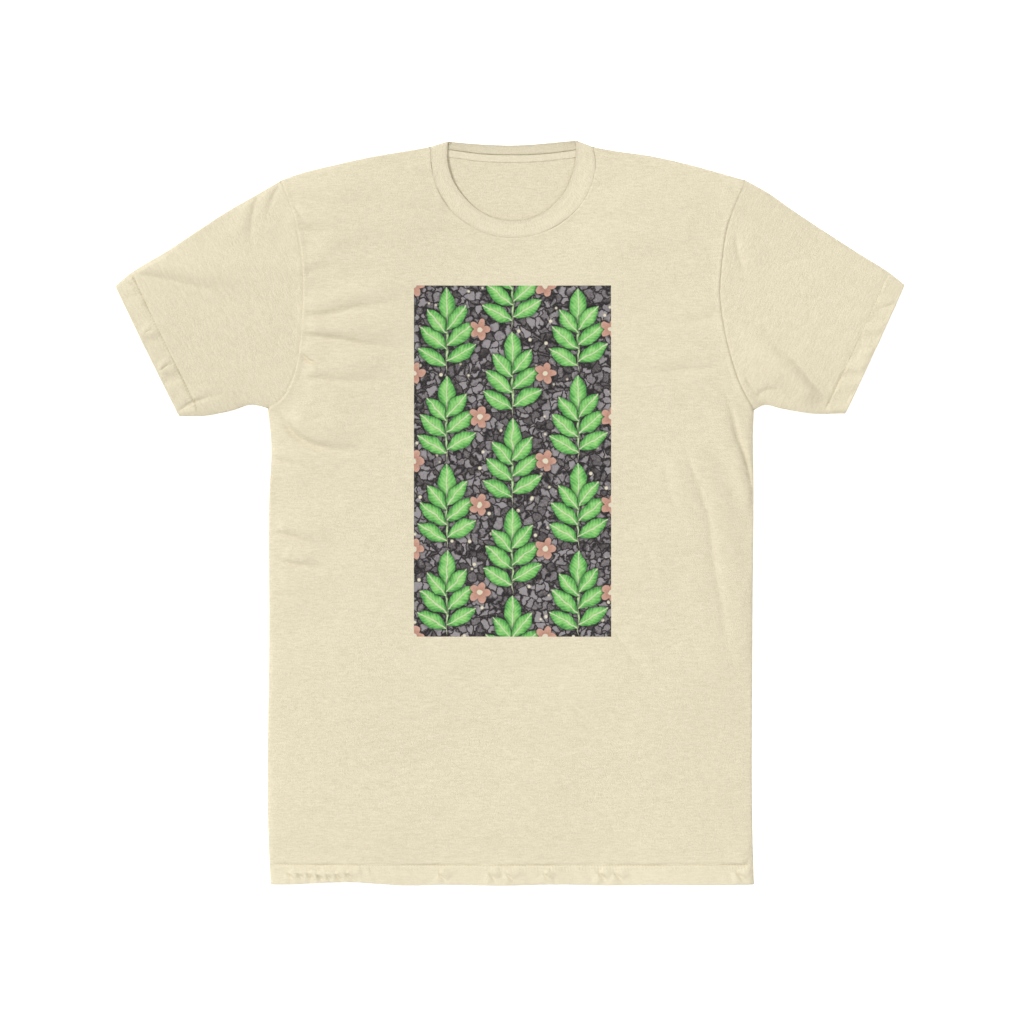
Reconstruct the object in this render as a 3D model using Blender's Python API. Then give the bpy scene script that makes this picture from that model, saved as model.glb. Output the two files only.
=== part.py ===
"""A crew-neck T-shirt that lies on its back on a flat surface, with its front upwards.

Everything is in metres. +Z is up, +Y runs from the hem to the collar and +X towards the wearer's left
sleeve. The origin is on the surface, under the middle of the shirt's bounding box.

The shirt is two layers of knitted cotton with a little air between them. The layers meet in a round fold
along the closed edges: the side seams, the undersides of the sleeves, the shoulders and the tops of the
sleeves. They stay apart at the hem, the cuffs and the neck. Every piece is a grid of points on the plan
of the shirt, and a point's height follows from its distance to the nearest closed edge.
"""

import bmesh
import bpy
import numpy as np

# Overall size of the shirt as it lies.
TOTAL_LENGTH = 0.745
CHEST_WIDTH = 0.485
CUFF_SPREAD = 0.790
HEM_Y = -TOTAL_LENGTH / 2
TOP_Y = TOTAL_LENGTH / 2

# Corners of the right half of the plan, which the left half mirrors.
HEM_CORNER = (CHEST_WIDTH / 2, HEM_Y)
ARMPIT = (0.244, 0.104)
CUFF_BOTTOM = (0.334, 0.098)
CUFF_TOP = (CUFF_SPREAD / 2, 0.227)
SHOULDER_POINT = (0.233, 0.332)
NECK_POINT = (0.081, 0.366)
COLLAR_CORNER = (0.064, TOP_Y)

# The neck: in front, seam and free edge are half ellipses, and behind they are shallow curves.
FRONT_SEAM_CENTRE_Y = 0.350
FRONT_SEAM_HALF_WIDTH = 0.082
FRONT_SEAM_DROP = 0.0747
FRONT_EDGE_CENTRE_Y = 0.353
FRONT_EDGE_HALF_WIDTH = 0.0645
FRONT_EDGE_DROP = 0.0606
BACK_SEAM_MIDDLE_Y = 0.358
BACK_EDGE_MIDDLE_Y = 0.3685
BACK_COLLAR_RISE = 0.0095
BACK_COLLAR_RISE_REACH = 0.040

# Cloth thicknesses, and the small pieces.
CLOTH = 0.0007
TURNED_HEM = 2 * CLOTH
RIB = 0.0010
TAPE = 0.0006
HEM_DEPTH = 0.019
HEM_STEP = 0.001
TAPE_WIDTH = 0.009
TAPE_HALF_LENGTH = 0.070

# Gaps between pieces that are sewn together.
LAYER_GAP = 0.0003
SEAM_GAP = 0.0004
COLLAR_GAP = 0.0005
CUTTER_MARGIN = 0.010

# Heights: the fold at a closed edge, and the front's outer face away from it.
FOLD_HEIGHT = 0.0024
FOLD_REACH = 0.0045
FOLD_SHARE = 0.30
LOFT = 0.0125
LOFT_REACH = 0.045
SLEEVE_LOSS = 0.0010
SLEEVE_LOSS_START = 0.200
SLEEVE_LOSS_REACH = 0.060
NECK_LOSS = 0.0050
NECK_LOSS_CENTRE_Y = 0.330
NECK_LOSS_REACH = 0.065
SOFT_MINIMUM_POWER = 4.0

# The front's hem and cuffs lie in slow waves that die out further in.
WAVE_HEIGHT = 0.0012
WAVE_REACH = 0.070
HEM_WAVES = 3.25
CUFF_WAVES = 1.25

# Faceting.
CURVE_POINTS = 120
FOLD_STEPS = 3
HALF_WIDTH_STEPS = 12
SIDE_STEPS = 10
ARMHOLE_STEPS = 7
SLEEVE_STEPS = 7
NECK_STEPS = 8
COLLAR_STEPS = 3
TAPE_STEPS = 12

# Colours and finish.
NATURAL_COTTON = (0.79, 0.72, 0.53, 1.0)
RIB_COTTON = (0.81, 0.74, 0.55, 1.0)
TAPE_COTTON = (0.77, 0.70, 0.52, 1.0)
COTTON_ROUGHNESS = 0.9


def clear_scene():
    """Remove whatever the scene holds."""
    for old in list(bpy.data.objects):
        bpy.data.objects.remove(old)


def smooth_curve(points):
    """A smooth curve through the given points, as many short steps."""
    p = np.array(points, float)
    at = np.concatenate([[0.0], np.cumsum(np.linalg.norm(np.diff(p, axis=0), axis=1))])
    slope = np.gradient(p, at, axis=0)
    s = np.linspace(0.0, at[-1], CURVE_POINTS)
    k = np.clip(np.searchsorted(at, s, side="right") - 1, 0, len(at) - 2)
    span = (at[k + 1] - at[k])[:, None]
    f = (s - at[k])[:, None] / span
    start = (2 * f**3 - 3 * f**2 + 1) * p[k] + (f**3 - 2 * f**2 + f) * span * slope[k]
    end = (3 * f**2 - 2 * f**3) * p[k + 1] + (f**3 - f**2) * span * slope[k + 1]
    return start + end


def along(curve, shares):
    """The points at these shares of a curve's length."""
    at = np.concatenate([[0.0], np.cumsum(np.linalg.norm(np.diff(curve, axis=0), axis=1))])
    return np.stack([np.interp(np.array(shares) * at[-1], at, curve[:, i]) for i in (0, 1)], axis=1)


def length_of(curve):
    """The length of a curve."""
    return float(np.linalg.norm(np.diff(curve, axis=0), axis=1).sum())


def half_ellipse(centre_y, half_width, drop, end):
    """The right half of a neckline in front, from the middle up to its end."""
    turn = np.linspace(0.0, np.pi / 2, CURVE_POINTS)
    arc = np.stack([half_width * np.sin(turn), centre_y - drop * np.cos(turn)], axis=1)
    return np.vstack([arc, [end]])


def side_seam():
    """From the hem to the armpit."""
    half = CHEST_WIDTH / 2
    return smooth_curve([HEM_CORNER, (half, -0.10), (half + 0.0005, 0.01), (half - 0.001, 0.072), ARMPIT])


def underarm():
    """The underside of the sleeve, from the armpit to the cuff."""
    return smooth_curve([ARMPIT, (0.252, 0.108), (0.272, 0.104), (0.304, 0.0965), CUFF_BOTTOM])


def armhole():
    """The seam between body and sleeve, from the armpit to the shoulder."""
    return smooth_curve([ARMPIT, (0.220, 0.146), (0.2085, 0.222), (0.215, 0.284), SHOULDER_POINT])


def shoulder():
    """From the neck to the top of the armhole."""
    return smooth_curve([NECK_POINT, (0.157, 0.352), SHOULDER_POINT])


def sleeve_top():
    """The fold along the top of the sleeve, from the shoulder to the cuff."""
    return smooth_curve([SHOULDER_POINT, (0.251, 0.322), (0.268, 0.312), (0.330, 0.2705), CUFF_TOP])


def front_neckline(inset=0.0):
    """The seam between front and collar, from the middle of the front to the shoulder."""
    end = (NECK_POINT[0] - inset, NECK_POINT[1])
    return half_ellipse(FRONT_SEAM_CENTRE_Y, FRONT_SEAM_HALF_WIDTH - inset, FRONT_SEAM_DROP - inset, end)


def back_neckline(inset=0.0):
    """The seam between back and collar, from the middle of the back to the shoulder."""
    middle = (0.0, BACK_SEAM_MIDDLE_Y + inset)
    end = (NECK_POINT[0] - inset, NECK_POINT[1])
    return smooth_curve([middle, (0.030, 0.3592 + inset), (0.060, 0.3625 + inset), end])


def collar_front_edge():
    """The collar's free edge in front, from the middle to its corner."""
    return half_ellipse(FRONT_EDGE_CENTRE_Y, FRONT_EDGE_HALF_WIDTH, FRONT_EDGE_DROP, COLLAR_CORNER)


def collar_back_edge():
    """The collar's free edge behind, from the middle to its corner."""
    return smooth_curve([(0.0, BACK_EDGE_MIDDLE_Y), (0.020, 0.3692), (0.042, TOP_Y - 0.001), COLLAR_CORNER])


def closed_edges():
    """The closed edges below and above the right sleeve, each with the shirt on its left."""
    below = np.vstack([side_seam(), underarm()[1:]])
    above = np.vstack([[COLLAR_CORNER], shoulder(), sleeve_top()[1:]])
    return below, above[::-1]


def nearest_on(line, xy):
    """The distance from each plan point to a line, and the direction to the right of the line there."""
    distance = np.full(xy.shape[:-1], np.inf)
    right = np.zeros(xy.shape)
    for a, b in zip(line[:-1], line[1:]):
        share = np.clip(((xy - a) @ (b - a)) / ((b - a) @ (b - a)), 0.0, 1.0)
        apart = np.linalg.norm(xy - a - share[..., None] * (b - a), axis=-1)
        nearer = apart < distance
        distance[nearer] = apart[nearer]
        right[nearer] = np.array([b[1] - a[1], a[0] - b[0]]) / np.linalg.norm(b - a)
    return distance, right


def fold_map(xy):
    """Each plan point's distance to the closed edges, rounded off where two are near, and the way out."""
    (below, out_below), (above, out_above) = [nearest_on(line, xy) for line in closed_edges()]
    power = SOFT_MINIMUM_POWER
    low, high = np.maximum(below, 1e-6), np.maximum(above, 1e-6)
    distance = (low**-power + high**-power) ** (-1 / power)
    return distance, np.where((below < above)[..., None], out_below, out_above)


def smoothstep(x):
    """0 below 0, 1 above 1 and smooth between them."""
    x = np.clip(x, 0.0, 1.0)
    return x * x * (3 - 2 * x)


def fold_turn(distance):
    """The cosine and sine of the cloth's turn round a fold: 1 and 0 at the edge, 0 and 1 past the fold."""
    cosine = 1.0 - np.minimum(distance / FOLD_REACH, 1.0)
    return cosine, np.sqrt(1.0 - cosine**2)


def edge_waves(xy):
    """The slow waves of the front's hem and cuffs."""
    along_hem = np.cos(2 * np.pi * HEM_WAVES * xy[..., 0] / CHEST_WIDTH)
    hem = np.exp(-(xy[..., 1] - HEM_Y) / WAVE_REACH) * along_hem
    cuff_line = np.array([CUFF_BOTTOM, CUFF_TOP])
    run = cuff_line[1] - cuff_line[0]
    along_cuff = np.sin(2 * np.pi * CUFF_WAVES * ((xy - cuff_line[0]) @ run) / (run @ run))
    cuff = np.exp(-nearest_on(cuff_line, xy)[0] / WAVE_REACH) * along_cuff
    return WAVE_HEIGHT * (hem + cuff)


def front_height(xy, distance, gap=0.0):
    """The height of the front's outer face."""
    loft = LOFT - SLEEVE_LOSS * smoothstep((xy[..., 0] - SLEEVE_LOSS_START) / SLEEVE_LOSS_REACH)
    from_neck = xy[..., 0] ** 2 + (xy[..., 1] - NECK_LOSS_CENTRE_Y) ** 2
    loft -= NECK_LOSS * np.exp(-from_neck / (2 * NECK_LOSS_REACH**2))
    slow = 1.0 - np.exp(-distance / LOFT_REACH)
    rise = FOLD_SHARE * fold_turn(distance)[1] + (1 - FOLD_SHARE) * slow
    return FOLD_HEIGHT + gap / 2 + (loft - FOLD_HEIGHT) * rise + edge_waves(xy) * slow


def back_height(distance, gap=0.0):
    """The height of the back's outer face: on the surface, and turned up at a fold."""
    return (FOLD_HEIGHT - gap / 2) * (1.0 - fold_turn(distance)[1])


def in_space(xy, height):
    """Plan points and their heights as points in space."""
    return np.concatenate([xy, height[..., None]], axis=-1)


def grid_normals(points, upwards):
    """The unit normals of a grid of points, up or down."""
    normal = np.cross(np.gradient(points, axis=1), np.gradient(points, axis=0))
    normal /= np.linalg.norm(normal, axis=-1, keepdims=True)
    return normal * (np.sign(normal[..., 2:]) * (1 if upwards else -1))


def inner_face(points, distance, out, thickness, upwards):
    """The inner face of a layer, behind the points of its outer face by the cloth's thickness.

    Past the folds it lies along the outer face's normals. Round a fold it turns with the fold, and at the
    edge it is level with the outer face, so that the edges of two layers face each other.
    """
    cosine, sine = fold_turn(distance)
    round_fold = in_space(out * cosine[..., None], sine * (1 if upwards else -1))
    normal = np.where((distance < FOLD_REACH)[..., None], round_fold, grid_normals(points, upwards))
    return points - normal * np.broadcast_to(thickness, distance.shape)[..., None]


def coons(bottom, top, inner, outer, u, v):
    """Fill a plan region between four edges with a grid of points, indexed [row, column].

    bottom and top are points at the shares u, inner and outer points at the shares v.
    """
    u, v = u[None, :, None], v[:, None, None]
    across = (1 - v) * bottom[None] + v * top[None]
    up = (1 - u) * inner[:, None] + u * outer[:, None]
    corners = (1 - v) * ((1 - u) * bottom[0] + u * bottom[-1]) + v * ((1 - u) * top[0] + u * top[-1])
    return across + up - corners


def stations(length, steps, fold_at_start=False, fold_at_end=True):
    """Distances along an edge: even steps, and shorter ones round a fold at either end."""
    round_fold = FOLD_REACH * (1 - np.cos(np.linspace(0.0, np.pi / 2, FOLD_STEPS + 1)))
    low, high = (FOLD_REACH if fold_at_start else 0.0), (length - FOLD_REACH if fold_at_end else length)
    before = round_fold[:-1] if fold_at_start else []
    after = (length - round_fold[:-1])[::-1] if fold_at_end else []
    return np.concatenate([before, np.linspace(low, high, steps + 1), after])


def body_plan():
    """The grid of the right half of a body panel before its neck is cut, and its points on closed edges."""
    top = np.vstack([[(0.0, TOP_Y)], [COLLAR_CORNER], shoulder()])
    outer = np.vstack([side_seam(), armhole()[1:]])
    side = length_of(side_seam())
    hem_rows = [0.0, HEM_DEPTH, HEM_DEPTH + HEM_STEP]
    side_rows = stations(side, SIDE_STEPS, fold_at_end=False)[1:]
    armhole_rows = side + stations(length_of(armhole()), ARMHOLE_STEPS, fold_at_start=True)[1:]
    rows = np.concatenate([hem_rows, side_rows, armhole_rows])
    columns = stations(length_of(top), HALF_WIDTH_STEPS)
    u, v = columns / columns[-1], rows / rows[-1]
    bottom = np.stack([u * HEM_CORNER[0], np.full(len(u), HEM_Y)], axis=1)
    inner = np.stack([np.zeros(len(v)), HEM_Y + v * TOTAL_LENGTH], axis=1)
    closed = np.zeros((len(v), len(u)), bool)
    closed[rows <= side, -1] = True
    closed[-1] = True
    return coons(bottom, along(top, u), inner, along(outer, v), u, v), closed


def sleeve_plan():
    """The grid of the left sleeve, columns from armhole to cuff and rows from its underside to its top."""
    seam, bottom, top = armhole(), underarm(), sleeve_top()
    for edge in (seam, bottom[:1], top[:1]):
        edge[:, 0] += SEAM_GAP
    length = length_of(top)
    columns = np.linspace(0.0, length - HEM_DEPTH - HEM_STEP, SLEEVE_STEPS + 1)
    columns = np.concatenate([columns, [length - HEM_DEPTH, length]])
    rows = stations(length_of(seam), ARMHOLE_STEPS, fold_at_start=True)
    u, v = columns / length, rows / rows[-1]
    cuff = np.array([CUFF_BOTTOM, CUFF_TOP])
    return coons(along(bottom, u), along(top, u), along(seam, v), along(cuff, v), u, v)


def neck_shares(neckline):
    """The shares of a neckline at which the collar and the cut for it have their points."""
    return stations(length_of(neckline), NECK_STEPS) / length_of(neckline)


def collar_plan(seam, edge):
    """The grid of one half of the collar, from the middle to the shoulder and from seam to free edge."""
    shares = neck_shares(seam)
    rows = np.linspace(0.0, 1.0, COLLAR_STEPS + 1)[:, None, None]
    return (1 - rows) * along(seam, shares) + rows * along(edge, shares)


def mirrored(half):
    """A grid whose columns run from the middle to the right, completed with its left half."""
    return np.concatenate([half[:, :0:-1] * [-1, 1, 1], half], axis=1)


def add_material(name, colour):
    """A matt cotton of this colour."""
    made = bpy.data.materials.new(name)
    made.use_nodes = True
    shader = made.node_tree.nodes["Principled BSDF"]
    shader.inputs["Base Color"].default_value = colour
    shader.inputs["Roughness"].default_value = COTTON_ROUGHNESS
    shader.inputs["Metallic"].default_value = 0.0
    return made


def add_object(name, shape):
    """An object of a finished bmesh, with its faces turned outwards."""
    bmesh.ops.recalc_face_normals(shape, faces=shape.faces)
    mesh = bpy.data.meshes.new(name)
    shape.to_mesh(mesh)
    shape.free()
    made = bpy.data.objects.new(name, mesh)
    bpy.context.scene.collection.objects.link(made)
    return made


def add_layer(name, outer, inner, colour, ring_rows=False, ring_columns=False):
    """A closed layer of cloth between two grids of points. A ring's last row or column meets its first."""
    shape = bmesh.new()
    rows, columns = outer.shape[:2]
    grids = [[[shape.verts.new(p) for p in row] for row in grid] for grid in (outer, inner)]
    down = [(r, (r + 1) % rows) for r in range(rows if ring_rows else rows - 1)]
    across = [(c, (c + 1) % columns) for c in range(columns if ring_columns else columns - 1)]
    for r, below in down:
        for c, beside in across:
            for grid in grids:
                shape.faces.new((grid[r][c], grid[r][beside], grid[below][beside], grid[below][c]))
    rims = []
    if not ring_columns:
        rims += [((r, c), (below, c)) for r, below in down for c in (0, columns - 1)]
    if not ring_rows:
        rims += [((r, c), (r, beside)) for c, beside in across for r in (0, rows - 1)]
    for (r, c), (r_next, c_next) in rims:
        face, back = grids
        shape.faces.new((face[r][c], face[r_next][c_next], back[r_next][c_next], back[r][c]))
    layer = add_object(name, shape)
    layer.data.materials.append(add_material(name, colour))
    layer.data.shade_smooth()
    return layer


def cut_neck(panel, neckline):
    """Cut the neck out of a body panel, along a neckline and straight up through the cloth."""
    right = along(neckline, neck_shares(neckline))
    onward = right[-1] + (right[-1] - right[-2]) / np.linalg.norm(right[-1] - right[-2]) * CUTTER_MARGIN
    right = np.vstack([right, onward, [onward[0], TOP_Y + CUTTER_MARGIN]])
    outline = np.vstack([right, (right * [-1, 1])[:0:-1]])
    shape = bmesh.new()
    base = shape.faces.new([shape.verts.new((x, y, -CUTTER_MARGIN)) for x, y in outline])
    grown = bmesh.ops.extrude_face_region(shape, geom=[base])["geom"]
    lid = [v for v in grown if isinstance(v, bmesh.types.BMVert)]
    bmesh.ops.translate(shape, verts=lid, vec=(0, 0, LOFT + 2 * CUTTER_MARGIN))
    cutter = add_object(panel.name + "_neck_cutter", shape)
    cutter.hide_render = True
    cutter.display_type = "WIRE"
    cut = panel.modifiers.new("Neck", "BOOLEAN")
    cut.operation = "DIFFERENCE"
    cut.object = cutter


def add_body_panel(name, neckline, is_front):
    """The front or the back of the body, with its turned-up hem."""
    xy, closed = body_plan()
    distance, out = fold_map(xy)
    distance[closed] = 0.0
    height = front_height(xy, distance, LAYER_GAP) if is_front else back_height(distance, LAYER_GAP)
    thickness = np.full(distance.shape, CLOTH)
    thickness[:2] = TURNED_HEM
    outer = in_space(xy, height)
    inner = inner_face(outer, distance, out, thickness, is_front)
    panel = add_layer(name, mirrored(outer), mirrored(inner), NATURAL_COTTON)
    cut_neck(panel, neckline)


def add_sleeve(name, side):
    """A sleeve, folded along its top and closed along its underside. side is 1 on the left, -1 on the right."""
    xy = sleeve_plan()
    distance, out = fold_map(xy)
    distance[[0, -1]] = 0.0
    thickness = np.full(distance.shape, CLOTH)
    thickness[:, -2:] = TURNED_HEM
    layers = []
    for height, upwards in ((front_height(xy, distance), True), (back_height(distance), False)):
        outer = in_space(xy, height)
        layers.append((outer, inner_face(outer, distance, out, thickness, upwards)))
    (front, front_inner), (back, back_inner) = layers
    outer = np.concatenate([front, back[-2:0:-1]]) * [side, 1, 1]
    inner = np.concatenate([front_inner, back_inner[-2:0:-1]]) * [side, 1, 1]
    add_layer(name, outer, inner, NATURAL_COTTON, ring_rows=True)


def along_rows(xy, out):
    """The way out of the folds, turned to run along a grid's rows and as much longer as that takes."""
    run = np.gradient(xy, axis=1)
    return run / np.maximum((run * out).sum(axis=-1, keepdims=True), 1e-9)


def add_collar():
    """The ribbed collar, a closed band. It lies flat in front, and behind it stands up and leans back."""
    halves = []
    across = np.linspace(0.0, 1.0, COLLAR_STEPS + 1)[:, None]
    for seam, edge, is_front in (
        (front_neckline(COLLAR_GAP), collar_front_edge(), True),
        (back_neckline(COLLAR_GAP), collar_back_edge(), False),
    ):
        xy = collar_plan(seam, edge)
        distance, out = fold_map(xy)
        distance[:, -1] = 0.0
        out = along_rows(xy, out)
        rise = BACK_COLLAR_RISE * across**2 * smoothstep(distance / BACK_COLLAR_RISE_REACH)
        height = front_height(xy, distance) if is_front else back_height(distance) + rise
        outer = in_space(xy, height)
        halves.append((outer, inner_face(outer, distance, out, RIB, is_front)))
    (front, front_inner), (back, back_inner) = halves
    outer = np.concatenate([mirrored(front)[:, 1:-1], mirrored(back)[:, ::-1]], axis=1)
    inner = np.concatenate([mirrored(front_inner)[:, 1:-1], mirrored(back_inner)[:, ::-1]], axis=1)
    add_layer("collar_rib", outer, inner, RIB_COTTON, ring_columns=True)


def add_neck_tape():
    """The tape inside the back of the neck, which lies on the back along the collar's seam."""
    neckline = back_neckline(-SEAM_GAP)
    upper = along(neckline[neckline[:, 0] <= TAPE_HALF_LENGTH], np.linspace(0.0, 1.0, TAPE_STEPS + 1))
    xy = np.stack([upper - [0.0, TAPE_WIDTH], upper])
    bottom = np.full(xy.shape[:-1], CLOTH + LAYER_GAP)
    outer, inner = in_space(xy, bottom + TAPE), in_space(xy, bottom)
    add_layer("neck_tape", mirrored(outer), mirrored(inner), TAPE_COTTON)


def main():
    """Build the shirt."""
    clear_scene()
    add_body_panel("front_panel", front_neckline(), is_front=True)
    add_body_panel("back_panel", back_neckline(), is_front=False)
    add_sleeve("left_sleeve", 1)
    add_sleeve("right_sleeve", -1)
    add_collar()
    add_neck_tape()


main()
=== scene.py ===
"""A short-sleeved crew-neck T-shirt of natural cotton jersey, laid on its back on a pale floor.

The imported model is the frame. Plan measures here are in millimetres on the frame's X and Y, and heights
are in millimetres above the floor. Each piece of cloth is a closed shell: its plan is filled with points
and triangles, the outer face takes its height from one lie of the whole shirt, and the inner face follows
it at the cloth's thickness.
"""

import logging
import math
from dataclasses import dataclass
from enum import Enum
from typing import Any, Callable, Sequence

import bpy
import numpy as np
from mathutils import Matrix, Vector, noise
from mathutils.geometry import delaunay_2d_cdt


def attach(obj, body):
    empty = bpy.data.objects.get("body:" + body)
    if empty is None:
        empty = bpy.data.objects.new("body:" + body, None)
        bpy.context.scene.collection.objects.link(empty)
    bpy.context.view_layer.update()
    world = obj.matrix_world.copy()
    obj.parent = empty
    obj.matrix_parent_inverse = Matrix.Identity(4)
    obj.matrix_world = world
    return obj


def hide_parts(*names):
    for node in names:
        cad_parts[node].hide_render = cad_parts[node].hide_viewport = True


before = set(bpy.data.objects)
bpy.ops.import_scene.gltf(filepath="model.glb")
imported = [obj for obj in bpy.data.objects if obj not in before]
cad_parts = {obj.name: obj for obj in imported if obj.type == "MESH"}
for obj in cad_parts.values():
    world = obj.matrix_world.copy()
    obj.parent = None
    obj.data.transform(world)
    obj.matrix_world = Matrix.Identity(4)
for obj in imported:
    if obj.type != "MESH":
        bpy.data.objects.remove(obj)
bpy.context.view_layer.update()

MM = 0.001
BODY = "root"
Array = np.ndarray
PlanPoints = Sequence[tuple[float, float]]
Socket = bpy.types.NodeSocket
Tree = bpy.types.NodeTree

log = logging.getLogger("shirt")


class Side(Enum):
    """The two sides of the shirt, by the sign of X."""

    LEFT = 1
    RIGHT = -1


class Layer(Enum):
    """The two layers of the shirt, by the way their outer faces point."""

    FRONT = 1
    BACK = -1


# The plan.


def smooth_curve(points: PlanPoints, step: float = 4.0) -> Array:
    """A smooth curve through the given points.

    Args:
        points: The points that shape the curve, in order.
        step: The length of the short steps that it is given as.

    Returns:
        The curve as points, one a row.
    """
    p = np.array(points, float)
    at = np.concatenate([[0.0], np.cumsum(np.linalg.norm(np.diff(p, axis=0), axis=1))])
    slope = np.gradient(p, at, axis=0)
    s = np.linspace(0.0, at[-1], max(int(round(at[-1] / step)), 2) + 1)
    k = np.clip(np.searchsorted(at, s, side="right") - 1, 0, len(at) - 2)
    span = (at[k + 1] - at[k])[:, None]
    f = (s - at[k])[:, None] / span
    start = (2 * f**3 - 3 * f**2 + 1) * p[k] + (f**3 - 2 * f**2 + f) * span * slope[k]
    end = (3 * f**2 - 2 * f**3) * p[k + 1] + (f**3 - f**2) * span * slope[k + 1]
    return start + end


def length_of(line: Array) -> float:
    """The length of a line."""
    return float(np.linalg.norm(np.diff(line, axis=0), axis=1).sum())


def evenly(line: Array, step: float) -> Array:
    """The same line in even steps of about the given length.

    Args:
        line: The line.
        step: The length of a step.

    Returns:
        The points of the line.
    """
    at = np.concatenate([[0.0], np.cumsum(np.linalg.norm(np.diff(line, axis=0), axis=1))])
    s = np.linspace(0.0, at[-1], max(int(round(at[-1] / step)), 1) + 1)
    return np.stack([np.interp(s, at, line[:, i]) for i in (0, 1)], axis=1)


def joined(*lines: Array) -> Array:
    """Lines end to end as one line, with each shared point once."""
    return np.vstack([lines[0]] + [line[1:] for line in lines[1:]])


def nearest_on(line: Array, xy: Array) -> tuple[Array, Array, Array, Array]:
    """How plan points lie to a line.

    Args:
        line: The points of the line.
        xy: The plan points, one a row.

    Returns:
        The distance, the signed distance with the right of the line positive, the length along the
        line, and the direction to the right of the line there.
    """
    distance = np.full(len(xy), np.inf)
    signed = np.zeros(len(xy))
    run = np.zeros(len(xy))
    right = np.zeros((len(xy), 2))
    start = 0.0
    for a, b in zip(line[:-1], line[1:]):
        ab = b - a
        size = float(np.hypot(*ab))
        away = xy - a
        share = np.clip(away @ ab / size**2, 0.0, 1.0)
        apart = np.hypot(away[:, 0] - share * ab[0], away[:, 1] - share * ab[1])
        to_right = np.array([ab[1], -ab[0]]) / size
        nearer = apart < distance
        distance[nearer] = apart[nearer]
        signed[nearer] = np.where(away[nearer] @ to_right >= 0, apart[nearer], -apart[nearer])
        run[nearer] = start + share[nearer] * size
        right[nearer] = to_right
        start += size
    return distance, signed, run, right


def smoothstep(x: Array) -> Array:
    """0 below 0, 1 above 1 and smooth between them."""
    x = np.clip(x, 0.0, 1.0)
    return x * x * (3 - 2 * x)


@dataclass(frozen=True)
class SidePlan:
    """The plan lines of one side of the shirt, each from its few shaping points."""

    side_seam: PlanPoints
    underarm: PlanPoints
    armhole: PlanPoints
    shoulder: PlanPoints
    sleeve_top: PlanPoints


PLANS = {
    Side.LEFT: SidePlan(
        side_seam=[(244.5, -372.5), (243.6, -345), (243, -128), (244, 40), (243.6, 78), (244.5, 102)],
        underarm=[(244.5, 102), (254, 107), (272, 103.5), (304, 98.5), (335.5, 98.7)],
        armhole=[(244.5, 102), (231, 126), (221, 155), (213, 190), (210, 220), (212, 250), (217, 283),
                 (236, 332.5)],
        shoulder=[(83, 366), (101, 362.5), (142, 356.5), (182, 347.5), (218, 337.5), (236, 332.5)],
        sleeve_top=[(236, 332.5), (256, 321.5), (284, 302), (345, 262), (386, 235.5), (395, 228)],
    ),
    Side.RIGHT: SidePlan(
        side_seam=[(-240, -372.5), (-241.4, -345), (-241.4, -108), (-241.5, 12), (-239.6, 72), (-243, 104)],
        underarm=[(-243, 104), (-258, 107.5), (-277, 102), (-304, 96.5), (-331, 96)],
        armhole=[(-243, 104), (-228, 114), (-218, 132), (-212.5, 153), (-208.5, 190), (-207, 231),
                 (-209.5, 263), (-217, 298), (-230, 332)],
        shoulder=[(-80, 366), (-102, 362), (-134, 356.8), (-178, 347.2), (-214, 338), (-230, 332)],
        sleeve_top=[(-230, 332), (-248, 321.5), (-282, 302), (-343, 262), (-386, 235), (-395, 227)],
    ),
}

# The neck, from the wearer's right to the left.
FRONT_SEAM = [(-80, 366), (-78.6, 345), (-75.6, 332), (-69, 316), (-58, 301.5), (-43, 289), (-26, 280),
              (-9, 275.6), (8, 275), (27.5, 278.2), (46, 286.6), (62.6, 299), (75, 314), (82.6, 331),
              (85.6, 352), (83, 366)]
FRONT_EDGE = [(-62, 371.5), (-62.4, 352), (-57, 333), (-47, 317.5), (-33, 304), (-14.6, 294.8), (3, 292.2),
              (22, 295), (40, 305), (53, 319), (61.5, 336), (65.6, 353), (66, 372.5)]
BACK_SEAM = [(-80, 366), (-55, 362.6), (-28, 359.2), (2, 358.2), (32, 359.2), (60, 362.4), (83, 366)]
BACK_EDGE = [(-62, 371.5), (-42, 369.6), (-20, 368.2), (2, 367.6), (24, 368.6), (44, 370.4), (66, 372.5)]

# The print's lower left and upper right corners.
PRINT_LOW = (-96.0, -124.5)
PRINT_HIGH = (101.0, 226.5)

# The hem's edge, which the last wash has drawn up a little in places, the straight line that it was sewn to,
# and the depth of hem and cuffs.
HEM_LINE = [(-240, -372.5), (-217, -372), (-187, -370), (-160, -369), (-135, -370.4), (-108, -372.2),
            (-60, -371.6), (-10, -372.3), (45, -371.4), (95, -372.4), (150, -371.6), (205, -372.3),
            (244.5, -372.5)]
HEM_Y = -372.5
HEM_DEPTH = 20.5

# The two rows of stitches, by their distance from the edge of a hem or cuff, and the stitches' pitch.
STITCH_ROWS = (14.5, 19.5)
STITCH_PITCH = 3.0

# Small puckers of the hem, by where their upper ends are along it.
HEM_PUCKERS = (-224, -214, -204, -195, -185, -175, -164, -72, -24, -5, 32, 88, 104, 226)

# Where the mesh is finer than elsewhere: rows of points beside the stitches and the closed edges, the reach
# of the finer points beside a crease, the width below which a crease gets rows of points of its own, and how
# close those points may come.
HEM_ROWS = (13.6, 14.5, 15.4, 16.3, 17.2, 18.0, 18.7, 19.5, 20.3, 21.3)
EDGE_ROWS = (0.35, 1.0, 1.9, 3.0, 4.5)
FINE_REACH = 8.5
NARROW = 3.0
NARROW_ROWS = (-2.6, -1.6, -0.8, 0.0, 0.8, 1.6, 2.6)
CLOSEST = 0.6


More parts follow.
